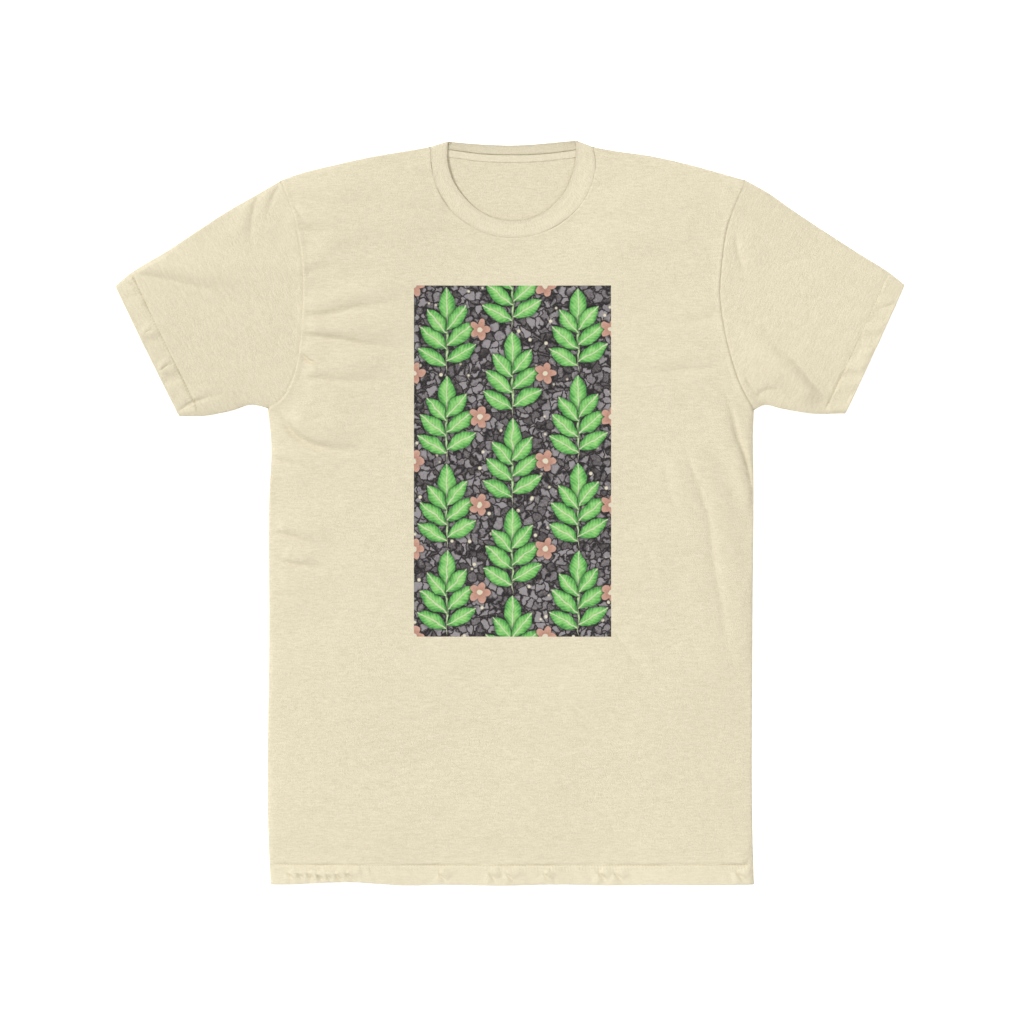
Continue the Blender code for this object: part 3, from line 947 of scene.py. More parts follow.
@dataclass(frozen=True)
class Cotton:
    """Cotton cloth: matt, softly uneven in tone, with the fine relief of its loops.

    Attributes:
        name: The material's name.
        light: Its colour where the yarn is plump.
        dark: Its colour between the loops.
        wale: The pitch of its loops across, in millimetres.
        course: The pitch of its loops along, in millimetres.
        turned: How far the grain is turned from the frame's X, in degrees.
        double: Its colour where it is turned up double.
    """

    name: str
    light: str
    dark: str
    wale: float
    course: float
    turned: float = 0.0
    double: str = "#fdf3d6"

    def get(self) -> bpy.types.Material:
        """The material, made when it is first asked for."""
        return bpy.data.materials.get(self.name) or self.make()

    def make(self) -> bpy.types.Material:
        """Make the material.

        Returns:
            The material.
        """
        made = bpy.data.materials.new(self.name)
        made.use_nodes = True
        tree = made.node_tree
        shader = tree.nodes["Principled BSDF"]
        grain = add_node(tree, "Mapping", Vector=self.place(tree), Scale=(1 / MM, 1 / MM, 1 / MM),
                         Rotation=(0, 0, math.radians(-self.turned)))
        colour = self.colour(tree, grain)
        tree.links.new(colour, shader.inputs["Base Color"])
        shader.inputs["Roughness"].default_value = 0.93
        shader.inputs["Specular IOR Level"].default_value = 0.25
        shader.inputs["Sheen Weight"].default_value = 0.06
        shader.inputs["Sheen Roughness"].default_value = 0.5
        tree.links.new(self.bump(tree, grain), shader.inputs["Normal"])
        return made

    def place(self, tree: Tree) -> Socket:
        """Where the pattern lies: the shirt lies flat, so its cloth follows the frame."""
        return add_node(tree, "TexCoord", out="Object")

    def tone(self, tree: Tree, grain: Socket) -> Socket:
        """The unevenness of the yarn: short streaks along the courses and a soft mottle.

        Args:
            tree: The material's nodes.
            grain: Each point's place along the cloth's grain, in millimetres.

        Returns:
            The socket of the tone, from 0 to 1.
        """
        long = add_node(tree, "Mapping", Vector=grain, Scale=(1 / 8, 1 / 1.5, 1 / 8))
        streak = add_node(tree, "TexNoise", Vector=long, Scale=1.0, Detail=4.0, Roughness=0.65)
        soft = add_node(tree, "Mapping", Vector=grain, Scale=(1 / 1.8, 1 / 1.6, 1 / 1.8))
        mottle = add_node(tree, "TexNoise", Vector=soft, Scale=1.0, Detail=5.0, Roughness=0.7)
        both = add_node(tree, "Math", operation="ADD", i0=streak, i1=mottle)
        return add_node(tree, "MapRange", Value=both, From_Min=0.78, From_Max=1.22)

    def colour(self, tree: Tree, grain: Socket) -> Socket:
        """The colour of the cloth, paler where it is double and less light goes through.

        Args:
            tree: The material's nodes.
            grain: Each point's place along the cloth's grain, in millimetres.

        Returns:
            The socket of the colour.
        """
        single = add_node(tree, "Mix", data_type="RGBA", i0=self.tone(tree, grain),
                          i6=linear(self.dark), i7=linear(self.light), out=2)
        doubled = add_node(tree, "Attribute", attribute_name="doubled", out="Fac")
        share = add_node(tree, "Math", operation="MULTIPLY", i0=doubled, i1=0.34)
        return add_node(tree, "Mix", data_type="RGBA", i0=share, i6=single,
                        i7=linear(self.double), out=2)

    def bump(self, tree: Tree, grain: Socket) -> Socket:
        """The relief of the loops and of the yarn's unevenness.

        Args:
            tree: The material's nodes.
            grain: Each point's place along the cloth's grain, in millimetres.

        Returns:
            The socket of the normal.
        """
        parts = add_node(tree, "SeparateXYZ", Vector=grain).node.outputs
        wave = []
        for part, pitch in ((parts[0], self.wale), (parts[1], self.course)):
            angle = add_node(tree, "Math", operation="MULTIPLY", i0=part, i1=2 * math.pi / pitch)
            wave.append(add_node(tree, "Math", operation="SINE", i0=angle))
        loops = add_node(tree, "Math", operation="ADD", i0=wave[0], i1=wave[1])
        fuzz = add_node(tree, "TexNoise", Vector=grain, Scale=0.85, Detail=4.0, Roughness=0.75)
        first = add_node(tree, "Bump", Strength=1.0, Distance=0.0014, Height=fuzz)
        return add_node(tree, "Bump", Strength=0.25, Distance=0.00012, Height=loops, Normal=first)


@dataclass(frozen=True)
class RibCotton(Cotton):
    """Ribbed cotton: the same yarn in fine upright ribs, which follow the band by its own UV map."""

    rib: float = 1.9

    def place(self, tree: Tree) -> Socket:
        """Where the pattern lies: the band's own map, along it and across it."""
        return add_node(tree, "UVMap")

    def bump(self, tree: Tree, grain: Socket) -> Socket:
        """The relief of the ribs, over that of the cloth.

        Args:
            tree: The material's nodes.
            grain: Each point's place along the cloth's grain, in millimetres.

        Returns:
            The socket of the normal.
        """
        cloth = super().bump(tree, grain)
        along = add_node(tree, "SeparateXYZ", Vector=grain)
        angle = add_node(tree, "Math", operation="MULTIPLY", i0=along, i1=2 * math.pi / self.rib)
        ribs = add_node(tree, "Math", operation="SINE", i0=angle)
        return add_node(tree, "Bump", Strength=0.15, Distance=0.00008, Height=ribs, Normal=cloth)


@dataclass(frozen=True)
class Thread(Cotton):
    """Spun polyester sewing thread: two plies twisted together, with a slight gloss."""

    twist: float = 0.9

    def bump(self, tree: Tree, grain: Socket) -> Socket:
        """The relief of the twist, drawn at its real pitch.

        Args:
            tree: The material's nodes.
            grain: Each point's place along the cloth's grain, in millimetres.

        Returns:
            The socket of the normal.
        """
        parts = add_node(tree, "SeparateXYZ", Vector=grain).node.outputs
        both = add_node(tree, "Math", operation="ADD", i0=parts[0], i1=parts[1])
        angle = add_node(tree, "Math", operation="MULTIPLY", i0=both, i1=2 * math.pi / self.twist)
        plies = add_node(tree, "Math", operation="SINE", i0=angle)
        return add_node(tree, "Bump", Strength=0.6, Distance=0.0001, Height=plies)


@dataclass(frozen=True)
class PrintedJersey(Cotton):
    """Jersey with a print of water-based ink, which dyes the yarn and lets the loops show through.

    The print is a plain half-drop of leafy sprigs and rosettes over a ground like dark gravel.

    Attributes:
        corner: The print's lower left corner on the frame's X and Y, in millimetres.
        cell: The size of one repeat.
        ground: The ground's colours from dark to light.
        greens: The leaves' colours from dark to light.
        petal: The rosettes' colours from dark to light.
        fleck: The colour of the flecks and of the rosettes' hearts.
    """

    corner: tuple[float, float] = PRINT_LOW
    cell: tuple[float, float] = (65.667, 87.75)
    ground: tuple[str, str, str] = ("#2a2729", "#5b5556", "#a19b9d")
    greens: tuple[str, str, str] = ("#4f9a4a", "#7cc86a", "#a9e08a")
    petal: tuple[str, str] = ("#b98673", "#dcae9b")
    fleck: str = "#e9e1c8"

    def colour(self, tree: Tree, grain: Socket) -> Socket:
        """The print's colour, from the ground up to the rosettes.

        Args:
            tree: The material's nodes.
            grain: Each point's place along the cloth's grain, in millimetres.

        Returns:
            The socket of the colour.
        """
        wobble = add_node(tree, "TexNoise", Vector=grain, Scale=0.09, Detail=2.0, out="Color")
        centred = add_node(tree, "VectorMath", operation="SUBTRACT", i0=wobble, i1=(0.5, 0.5, 0.5))
        shifted = add_node(tree, "VectorMath", operation="MULTIPLY_ADD", i0=centred,
                           i1=(5.0, 5.0, 0.0), i2=grain)
        colour = self.gravel(tree, grain)
        colour = self.sprig(tree, grain, self.half_drop(tree, shifted, 0.0), colour)
        colour = self.rosette(tree, grain, self.half_drop(tree, shifted, 0.5), colour)
        worn = add_node(tree, "TexNoise", Vector=grain, Scale=1.1, Detail=3.0, Roughness=0.8)
        bare = add_node(tree, "MapRange", Value=worn, From_Min=0.6, From_Max=0.85, To_Max=0.5)
        return add_node(tree, "Mix", data_type="RGBA", i0=bare, i6=colour,
                        i7=linear(self.light), out=2)

    def gravel(self, tree: Tree, grain: Socket) -> Socket:
        """The ground: dark chips of uneven size and tone.

        Args:
            tree: The material's nodes.
            grain: Each point's place along the cloth's grain, in millimetres.

        Returns:
            The socket of the colour.
        """
        bent = add_node(tree, "TexNoise", Vector=grain, Scale=0.12, Detail=3.0, out="Color")
        at = add_node(tree, "VectorMath", operation="MULTIPLY_ADD", i0=bent, i1=(14.0, 14.0, 0.0),
                      i2=grain)
        chips = add_node(tree, "TexVoronoi", feature="F1", Vector=at, Scale=0.13, out="Color")
        parts = add_node(tree, "SeparateColor", i0=chips).node.outputs
        edge = add_node(tree, "TexVoronoi", feature="DISTANCE_TO_EDGE", Vector=at, Scale=0.13, out="Distance")
        gap = add_node(tree, "MapRange", Value=edge, From_Max=0.16)
        grit = add_node(tree, "TexNoise", Vector=grain, Scale=0.55, Detail=4.0, Roughness=0.75)
        tone = add_node(tree, "Math", operation="MULTIPLY_ADD", i0=parts[0], i1=0.65, i2=grit)
        lit = add_node(tree, "Math", operation="MULTIPLY", i0=tone, i1=gap)
        stone = add_node(tree, "ValToRGB", i0=lit)
        set_stops(stone.node.color_ramp, (0.1, self.ground[0]), (0.55, self.ground[1]), (1.0, self.ground[2]))
        dots = add_node(tree, "TexVoronoi", feature="F1", Vector=grain, Scale=0.075, out="Distance")
        near = add_node(tree, "MapRange", Value=dots, From_Min=0.16, From_Max=0.10)
        return add_node(tree, "Mix", data_type="RGBA", i0=near, i6=stone, i7=linear(self.fleck), out=2)

    def half_drop(self, tree: Tree, at: Socket, offset: float) -> Socket:
        """Each point's place in its cell, in millimetres from the cell's middle.

        Args:
            tree: The material's nodes.
            at: The point on the shirt.
            offset: How far this lattice is moved from the first one, in cells.

        Returns:
            The socket of the place.
        """
        width, height = self.cell
        x0, y0 = self.corner
        cells = add_node(tree, "Mapping", Vector=at, Scale=(1 / width, 1 / height, 1.0),
                         Location=(-x0 / width + offset, -y0 / height + offset, 0.0))
        parts = add_node(tree, "SeparateXYZ", Vector=cells).node.outputs
        column = add_node(tree, "Math", operation="FLOOR", i0=parts[0])
        drop = add_node(tree, "Math", operation="MULTIPLY_ADD", i0=column, i1=0.5, i2=parts[1])
        moved = add_node(tree, "CombineXYZ", X=parts[0], Y=drop)
        inside = add_node(tree, "VectorMath", operation="FRACTION", i0=moved)
        return add_node(tree, "Mapping", Vector=inside, Location=(-width / 2, -height / 2, 0.0),
                        Scale=(width, height, 1.0))

    def sprig(self, tree: Tree, grain: Socket, local: Socket, below: Socket) -> Socket:
        """A sprig of leaves over what is below it.

        Args:
            tree: The material's nodes.
            grain: Each point's place along the cloth's grain, in millimetres.
            local: Each point's place in its cell.
            below: The colour of what is below it.

        Returns:
            The socket of the colour.
        """
        tone = add_node(tree, "TexNoise", Vector=grain, Scale=0.16, Detail=3.0)
        colour = below
        leaves = [((0.0, -43.0), 0.0, 62.0, 2.6), ((0.0, 6.0), 0.0, 36.0, 17.0)]
        for base, turn, size in ((-36.0, 60.0, 34.0), (-20.0, 50.0, 35.0), (-4.0, 40.0, 31.0)):
            leaves += [((0.0, base), turn, size, 0.45 * size), ((0.0, base + 4.0), -turn, size, 0.45 * size)]
        for place, turn, size, width in leaves:
            own = add_node(tree, "Mapping", vector_type="TEXTURE", Vector=local,
                           Location=(*place, 0.0), Rotation=(0.0, 0.0, math.radians(turn)))
            parts = add_node(tree, "SeparateXYZ", Vector=own).node.outputs
            aside = add_node(tree, "Math", operation="ABSOLUTE", i0=parts[0])
            along = add_node(tree, "MapRange", clamp=False, Value=parts[1], From_Max=size,
                             To_Min=-1.0)
            square = add_node(tree, "Math", operation="MULTIPLY", i0=along, i1=along)
            span = add_node(tree, "Math", operation="MULTIPLY_ADD", i0=square, i1=-width / 2,
                            i2=width / 2)
            depth = add_node(tree, "Math", operation="SUBTRACT", i0=span, i1=aside)
            shape = add_node(tree, "MapRange", Value=depth, From_Min=-0.25, From_Max=0.25)
            body = add_node(tree, "MapRange", Value=depth, From_Min=0.0, From_Max=0.32 * width,
                            To_Min=-0.25, To_Max=0.3)
            slant = add_node(tree, "Math", operation="MULTIPLY_ADD", i0=aside, i1=-0.9, i2=parts[1])
            angle = add_node(tree, "Math", operation="MULTIPLY", i0=slant, i1=1.6)
            veins = add_node(tree, "Math", operation="SINE", i0=angle)
            veined = add_node(tree, "Math", operation="MULTIPLY_ADD", i0=veins, i1=0.1, i2=body)
            value = add_node(tree, "Math", operation="ADD", i0=veined, i1=tone)
            green = add_node(tree, "ValToRGB", i0=value)
            set_stops(green.node.color_ramp, (0.25, self.greens[0]), (0.55, self.greens[1]),
                      (0.95, self.greens[2]))
            rib = add_node(tree, "MapRange", Value=aside, From_Min=0.75, From_Max=0.35, To_Max=0.75)
            leaf = add_node(tree, "Mix", data_type="RGBA", i0=rib, i6=green,
                            i7=linear(self.fleck), out=2)
            colour = self.shaded(tree, depth, colour)
            colour = add_node(tree, "Mix", data_type="RGBA", i0=shape, i6=colour, i7=leaf, out=2)
        return colour

    def rosette(self, tree: Tree, grain: Socket, local: Socket, below: Socket) -> Socket:
        """A rosette of five round petals over what is below it.

        Args:
            tree: The material's nodes.
            grain: Each point's place along the cloth's grain, in millimetres.
            local: Each point's place in its cell.
            below: The colour of what is below it.

        Returns:
            The socket of the colour.
        """
        parts = add_node(tree, "SeparateXYZ", Vector=local).node.outputs
        radius = add_node(tree, "VectorMath", operation="LENGTH", i0=local, out="Value")
        angle = add_node(tree, "Math", operation="ARCTAN2", i0=parts[1], i1=parts[0])
        lobes = add_node(tree, "Math", operation="MULTIPLY", i0=angle, i1=2.5)
        lobe = add_node(tree, "Math", operation="COSINE", i0=lobes)
        reach = add_node(tree, "Math", operation="ABSOLUTE", i0=lobe)
        edge = add_node(tree, "Math", operation="MULTIPLY_ADD", i0=reach, i1=5.0, i2=6.0)
        depth = add_node(tree, "Math", operation="SUBTRACT", i0=edge, i1=radius)
        shape = add_node(tree, "MapRange", Value=depth, From_Min=-0.25, From_Max=0.25)
        tone = add_node(tree, "TexNoise", Vector=grain, Scale=0.5, Detail=3.0)
        cup = add_node(tree, "MapRange", Value=radius, From_Min=2.0, From_Max=10.0, To_Min=-0.35,
                       To_Max=0.3)
        value = add_node(tree, "Math", operation="ADD", i0=cup, i1=tone)
        petal = add_node(tree, "Mix", data_type="RGBA", i0=value, i6=linear(self.petal[0]),
                         i7=linear(self.petal[1]), out=2)
        heart = add_node(tree, "MapRange", Value=radius, From_Min=3.0, From_Max=2.4)
        flower = add_node(tree, "Mix", data_type="RGBA", i0=heart, i6=petal,
                          i7=linear(self.fleck), out=2)
        return add_node(tree, "Mix", data_type="RGBA", i0=shape, i6=self.shaded(tree, depth, below),
                        i7=flower, out=2)

    def shaded(self, tree: Tree, depth: Socket, below: Socket) -> Socket:
        """What is below a motif, darker close round it.

        Args:
            tree: The material's nodes.
            depth: How far a point is inside the motif.
            below: The colour of what is below it.

        Returns:
            The socket of the shaded colour.
        """
        near = add_node(tree, "MapRange", Value=depth, From_Min=-3.2, From_Max=0.0, To_Max=0.7)
        return add_node(tree, "Mix", data_type="RGBA", i0=near, i6=below,
                        i7=linear(self.ground[0]), out=2)


LIGHT = "#f5ebcf"
DARK = "#e6dbbd"


class Finish(Enum):
    """The finishes of the shirt."""

    # Cotton single jersey, knitted of fine yarn on a round machine, washed and left undyed. It gives the eye
    # a warm matt cream with soft short streaks along its courses, paler where it is turned up double. Its
    # loops are about 0.65 mm wide and 0.5 mm high, too fine to show here, and are drawn 1.1 by 0.9 mm.
    JERSEY = Cotton("cotton_jersey", LIGHT, DARK, 1.1, 0.9)
    # The same jersey, cut with its grain along each sleeve.
    LEFT_SLEEVE = Cotton("cotton_jersey_left_sleeve", LIGHT, DARK, 1.1, 0.9, 64.0)
    RIGHT_SLEEVE = Cotton("cotton_jersey_right_sleeve", LIGHT, DARK, 1.1, 0.9, -64.0)
    # One-and-one cotton rib, knitted on two needle beds: fine upright ribs across the band, about 1.3 mm
    # apart and drawn at 1.9 mm so that they show.
    RIB = RibCotton("cotton_rib", "#efe5ca", "#e4dabd", 1.9, 0.9)
    # Cotton tape, woven and a little paler and smoother to the eye than the jersey, with the fine texture of
    # its yarn.
    TAPE = Cotton("cotton_tape", "#f7eed4", "#ede3c7", 0.9, 0.9)
    # Spun polyester sewing thread, twisted of two plies, which shows as dots with a slight shade of twist.
    # One
    # thread in two copies: this darker one paints shade on the rows farther from the edge of the hem and
    # cuffs.
    THREAD = Thread("thread_shaded_copy", "#e6dbbb", "#cbbf9a", 1.0, 1.0)
    # The paler copy paints light on the rows nearer the edge of the hem and cuffs and on the neck tape's
    # rows.
    LIT_THREAD = Thread("thread_lit_copy", "#f9f0d8", "#e8debf", 1.0, 1.0)
    # The same jersey with ink in its face: the loops show through, and flecks of bare yarn.
    PRINT = PrintedJersey("printed_jersey", LIGHT, DARK, 1.1, 0.9)

    def get(self) -> bpy.types.Material:
        """The finish's material."""
        return self.value.get()


# The pieces.


@dataclass
class BodyPanel:
    """The front or the back of the body, with its turned-up hem.

    Attributes:
        plan: The lines of the shirt.
        lie: How it lies.
        layer: The layer that the panel makes.
        step: The spacing of the mesh's points.
        cloth: The thickness of the cloth.
        hem: Its thickness at the hem, where it is turned up double.
        edge_step: The spacing of the points on its outline.
    """

    plan: Plan
    lie: Lie
    layer: Layer
    step: float
    cloth: float = 0.7
    hem: float = 1.4
    edge_step: float = 3.0

    def build(self) -> bpy.types.Object:
        """Build the panel.

        Returns:
            The piece.
        """
        front = self.layer is Layer.FRONT
        name = f"{self.layer.name.lower()}_panel"
        creases = CREASES if front else []
        corners = np.array([self.plan.lines[side]["side_seam"][0] for side in (Side.RIGHT, Side.LEFT)])
        guides = [evenly(corners + [0.0, row], 1.0) for row in HEM_ROWS]
        guides += [row for crease in creases for row in crease.rows()]
        fine = [smooth_curve(crease.path, 6.0) for crease in creases]
        lines = [self.print_outline()] if front else []
        mesh = PlanMesh.fill(self.plan.body_loop(self.layer), self.step, self.edge_step, fine, guides, lines)
        xy = mesh.xy
        distance, out = self.lie.distance(xy)
        distance[mesh.on("closed")] = 0.0
        if front:
            height = self.lie.top(xy, distance) + self.neck_relief(xy)
        else:
            height = self.lie.back(distance) + self.lie.back_furrows(xy)
        outer = np.column_stack([xy, height])
        triangles = mesh.triangles if front else mesh.triangles[:, ::-1]
        normal = self.lie.round_folds(corner_normals(outer, triangles), distance, out, self.layer.value)
        doubled = smoothstep((HEM_DEPTH + 1 - (xy[:, 1] - HEM_Y)) / 1.5)
        thick = self.cloth + (self.hem - self.cloth) * doubled
        inner = outer - normal * thick[:, None]
        bulge = np.zeros(outer.shape)
        bulge[mesh.on("hem"), 1] = -0.5 * self.hem
        piece = add_shell(name + "_cloth", outer, inner, triangles, bulge, doubled)
        piece.data.materials.append(Finish.JERSEY.get())
        if front:
            piece.data.materials.append(Finish.PRINT.get())
            middles = xy[triangles].mean(axis=1)
            printed = ((middles > PRINT_LOW) & (middles < PRINT_HIGH)).all(axis=1)
            slots = np.zeros(len(piece.data.polygons), np.int32)
            slots[: len(printed)][printed] = 1
            piece.data.polygons.foreach_set("material_index", slots)
        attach(piece, BODY)
        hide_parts(name)
        area = area_inside(self.plan.body_loop(self.layer)) * MM**2
        return piece

    def print_outline(self) -> Array:
        """The outline of the print as points.

        Returns:
            The points, without the first again at the end.
        """
        (x0, y0), (x1, y1) = PRINT_LOW, PRINT_HIGH
        corners = np.array([(x0, y0), (x1, y0), (x1, y1), (x0, y1), (x0, y0)])
        return np.vstack([evenly(corners[i : i + 2], self.edge_step)[:-1] for i in range(4)])

    def neck_relief(self, xy: Array) -> Array:
        """The front stands a little proud beside the collar's seam, and dips into it.

        Args:
            xy: The plan points.

        Returns:
            The height of each point.
        """
        apart = nearest_on(self.plan.front_seam, xy)[0]
        tight = smoothstep((362.0 - xy[:, 1]) / 60.0)
        return sum(ridge.relief(apart) for ridge in NECK_SEAM) * tight


@dataclass
class Sleeve:
    """A sleeve: one tube of cloth, folded along its top and closed along its underside.

    Attributes:
        plan: The lines of the shirt.
        lie: How it lies.
        side: The side of the shirt.
        step: The spacing of the mesh's points.
        edge_step: Their spacing on its outline.
        cloth: The thickness of the cloth.
        hem: Its thickness at the cuff, where it is turned up double.
        pale: How much of a double cloth's paleness the cuff has.
    """

    plan: Plan
    lie: Lie
    side: Side
    step: float = 2.8
    edge_step: float = 2.6
    cloth: float = 0.7
    hem: float = 1.4
    pale: float = 0.35

    def build(self) -> bpy.types.Object:
        """Build the sleeve.

        Returns:
            The piece.
        """
        name = f"{self.side.name.lower()}_sleeve"
        cuff, into = self.plan.cuff(self.side), self.plan.into(self.side)
        guides = [evenly(cuff + into * row, 1.0) for row in HEM_ROWS]
        guides += [row for crease in CREASES for row in crease.rows()]
        fine = [smooth_curve(crease.path, 6.0) for crease in CREASES]
        mesh = PlanMesh.fill(self.plan.sleeve_loop(self.side), self.step, self.edge_step, fine, guides)
        xy = mesh.xy
        distance, out = self.lie.distance(xy)
        closed = mesh.on("closed")
        distance[closed] = 0.0
        front = self.lie.top(xy, distance)
        back = self.lie.back(distance) + self.lie.back_furrows(xy)
        back[closed] = front[closed]
        count = len(xy)
        own = ~closed
        index = np.arange(count)
        index[own] = count + np.arange(own.sum())
        outer = np.vstack([np.column_stack([xy, front]), np.column_stack([xy, back])[own]])
        triangles = np.vstack([mesh.triangles, index[mesh.triangles[:, ::-1]]])
        both = np.concatenate([np.arange(count), np.flatnonzero(own)])
        sign = np.concatenate([np.ones(count), -np.ones(own.sum())])
        normal = self.lie.round_folds(corner_normals(outer, triangles), distance[both], out[both], sign)
        doubled = smoothstep((HEM_DEPTH + 1 - nearest_on(cuff, xy)[0][both]) / 1.5)
        thick = self.cloth + (self.hem - self.cloth) * doubled
        inner = outer - normal * thick[:, None]
        bulge = np.zeros(outer.shape)
        bulge[mesh.on("cuff")[both]] = [*(-into * 0.5 * self.hem), 0.0]
        piece = add_shell(name + "_cloth", outer, inner, triangles, bulge, self.pale * doubled)
        piece.data.materials.append(Finish[name.upper()].get())
        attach(piece, BODY)
        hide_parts(name)
        area = 2 * area_inside(self.plan.sleeve_loop(self.side)) * MM**2
        return piece


@dataclass
class Collar:
    """The ribbed collar: a closed band, folded double along its free edge.

    Attributes:
        plan: The lines of the shirt.
        lie: How it lies.
        thickness: The thickness of the band.
        rise: How far its free edge stands up from the back, and seam_lift how far its seam does.
        rise_reach: How far below the front's edge it begins to.
        width: The width of the band.
        columns: The faces along each half of it.
        across: Where its rows of points lie, from the seam to the free edge.
    """

    plan: Plan
    lie: Lie
    thickness: float = 1.4
    rise: float = 0.5
    seam_lift: float = 0.6
    rise_reach: float = 8.0
    width: float = 17.0
    columns: int = 200
    across: tuple[float, ...] = (0.0, 0.01, 0.05, 0.12, 0.25, 0.4, 0.55, 0.7, 0.82, 0.9, 0.95, 0.98, 1.0)

    def half(self, layer: Layer) -> tuple[Array, Array]:
        """One half of the band, from the wearer's right to the left.

        Args:
            layer: The half that lies on the front or on the back.

        Returns:
            The points of its outer and its inner face, each a grid of rows from seam to free edge.
        """
        front = layer is Layer.FRONT
        seam = self.plan.front_seam if front else self.plan.back_seam
        edge = self.plan.front_edge if front else self.plan.back_edge
        at = np.linspace(0, 1, self.columns + 1)
        seam, edge = (
            np.stack([np.interp(at, np.linspace(0, 1, len(line)), line[:, i]) for i in (0, 1)], axis=1)
            for line in (seam, edge)
        )
        share = np.array(self.across)[:, None, None]
        xy = (1 - share) * seam + share * edge
        shape = xy.shape[:2]
        plan = xy.reshape(-1, 2)
        distance, out = self.lie.distance(plan)
        distance = distance.reshape(shape)
        out = out.reshape(*shape, 2)
        distance[:, [0, -1]] = 0.0
        flat = distance.reshape(-1)
        if front:
            ripple = Ripple(30.0, 30.0, 0.35, 41.0).relief(plan).reshape(shape)
            height = self.lie.front(plan, flat).reshape(shape) + ripple * smoothstep(distance / 9.0)
        else:
            height = self.lie.back(flat).reshape(shape)
            lift = self.seam_lift + self.rise * share[..., 0] ** 2
            _, signed, _, _ = nearest_on(self.plan.front_edge, plan)
            height += lift * smoothstep(-signed.reshape(shape) / self.rise_reach)
        points = np.concatenate([xy, height[..., None]], axis=-1)
        cosine, sine = self.lie.turn(distance)
        run = np.gradient(xy, axis=1)
        outwards = (run * out).sum(axis=-1, keepdims=True)
        along = run / np.maximum(np.abs(outwards), 1e-9) * np.sign(outwards)
        up = np.cross(np.gradient(points, axis=1), np.gradient(points, axis=0))
        up /= np.linalg.norm(up, axis=-1, keepdims=True)
        up *= np.sign(up[..., 2:]) * layer.value
        fold = np.concatenate([along * cosine[..., None], (sine * layer.value)[..., None]], axis=-1)
        past = self.lie.past(distance)[..., None]
        normal = np.where(distance[..., None] < 1e-6, fold, past * up + (1 - past) * fold)
        size = np.linalg.norm(normal, axis=-1, keepdims=True)
        normal = np.where(distance[..., None] > self.lie.fold_reach * 0.6, normal / size, normal)
        v = np.array(self.across)
        round_edge = np.sqrt(np.maximum(1 - (np.maximum(v - 0.95, 0) / 0.05) ** 2, 0.0))
        round_seam = 0.8 + 0.2 * np.sqrt(1 - (np.maximum(0.1 - v, 0) / 0.1) ** 2)
        profile = (round_edge * round_seam)[:, None, None]
        middle = points - normal * self.thickness / 2
        return middle + normal * self.thickness / 2 * profile, middle - normal * self.thickness / 2 * profile

    def build(self) -> bpy.types.Object:
        """Build the collar.

        Returns:
            The piece.
        """
        (front, front_in), (back, back_in) = self.half(Layer.FRONT), self.half(Layer.BACK)
        outer = np.concatenate([front[:, :-1], back[:, :0:-1]], axis=1)
        inner = np.concatenate([front_in[:, :-1], back_in[:, :0:-1]], axis=1)
        loop = np.concatenate([outer, inner[-2::-1]])
        rows, columns = loop.shape[:2]
        faces = []
        for r in range(rows):
            for c in range(columns):
                here, beside = r * columns + c, r * columns + (c + 1) % columns
                below = (r + 1) % rows * columns
                faces.append((here, beside, below + (c + 1) % columns, below + c))
        piece = add_mesh("collar_rib_band", loop.reshape(-1, 3), faces)
        piece.data.materials.append(Finish.RIB.get())
        self.map_band(piece, rows, columns)
        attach(piece, BODY)
        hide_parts("collar_rib")
        return piece

    def map_band(self, piece: bpy.types.Object, rows: int, columns: int) -> None:
        """Give the band a UV map in metres, along it and across it.

        Args:
            piece: The collar.
            rows: The rows of its faces.
            columns: The faces of one row.
        """
        length = length_of(self.plan.front_edge) + length_of(self.plan.back_edge)
        band = np.zeros((rows, columns, 4, 2))
        for corner, (down, beside) in enumerate(((0, 0), (0, 1), (1, 1), (1, 0))):
            band[:, :, corner, 0] = (np.arange(columns) + beside) * length / columns * MM
            band[:, :, corner, 1] = ((np.arange(rows) + down) * self.width / (rows / 2))[:, None] * MM
        layer = piece.data.uv_layers.new(name="band")
        layer.data.foreach_set("uv", band.ravel())


@dataclass
class NeckTape:
    """The tape over the back of the neck seam.

    Attributes:
        plan: The lines of the shirt.
        width: Its width.
        half_length: Half its length.
        middle: The place of its middle on X.
        base: The height of its underside.
        thickness: Its thickness.
        across: The places of its rows of points, from its upper edge, and crown, how thick it is there.
    """

    plan: Plan
    width: float = 8.0
    half_length: float = 70.0
    middle: float = 2.0
    base: float = 0.75
    thickness: float = 0.45
    across: tuple[float, ...] = (0.5, 0.9, 2.0, 4.0, 5.6, 7.0, 8.0)
    crown: tuple[float, ...] = (0.5, 0.9, 1.0, 0.9, 0.7, 0.4, 0.12)

    def upper(self, inset: float) -> Array:
        """The line of its upper edge, shorter by an inset at each end."""
        seam = self.plan.back_seam
        return seam[np.abs(seam[:, 0] - self.middle) <= self.half_length - inset]

    def build(self) -> bpy.types.Object:
        """Build the tape.

        Returns:
            The piece.
        """
        upper = evenly(self.upper(0.0), 1.5)
        count = len(upper)
        xy = np.stack([upper - [0.0, apart] for apart in self.across])
        triangles = []
        for row in range(len(self.across) - 1):
            for column in range(count - 1):
                a = row * count + column
                triangles += [(a, a + count, a + count + 1), (a, a + count + 1, a + 1)]
        flat = xy.reshape(-1, 2)
        outer = np.column_stack([flat, self.base + self.thickness * np.repeat(self.crown, count)])
        inner = np.column_stack([flat, np.full(len(flat), self.base)])
        piece = add_shell("neck_tape_band", outer, inner, np.array(triangles), np.zeros(outer.shape),
                          np.zeros(len(outer)))
        piece.data.materials.append(Finish.TAPE.get())
        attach(piece, BODY)
        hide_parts("neck_tape")
        return piece


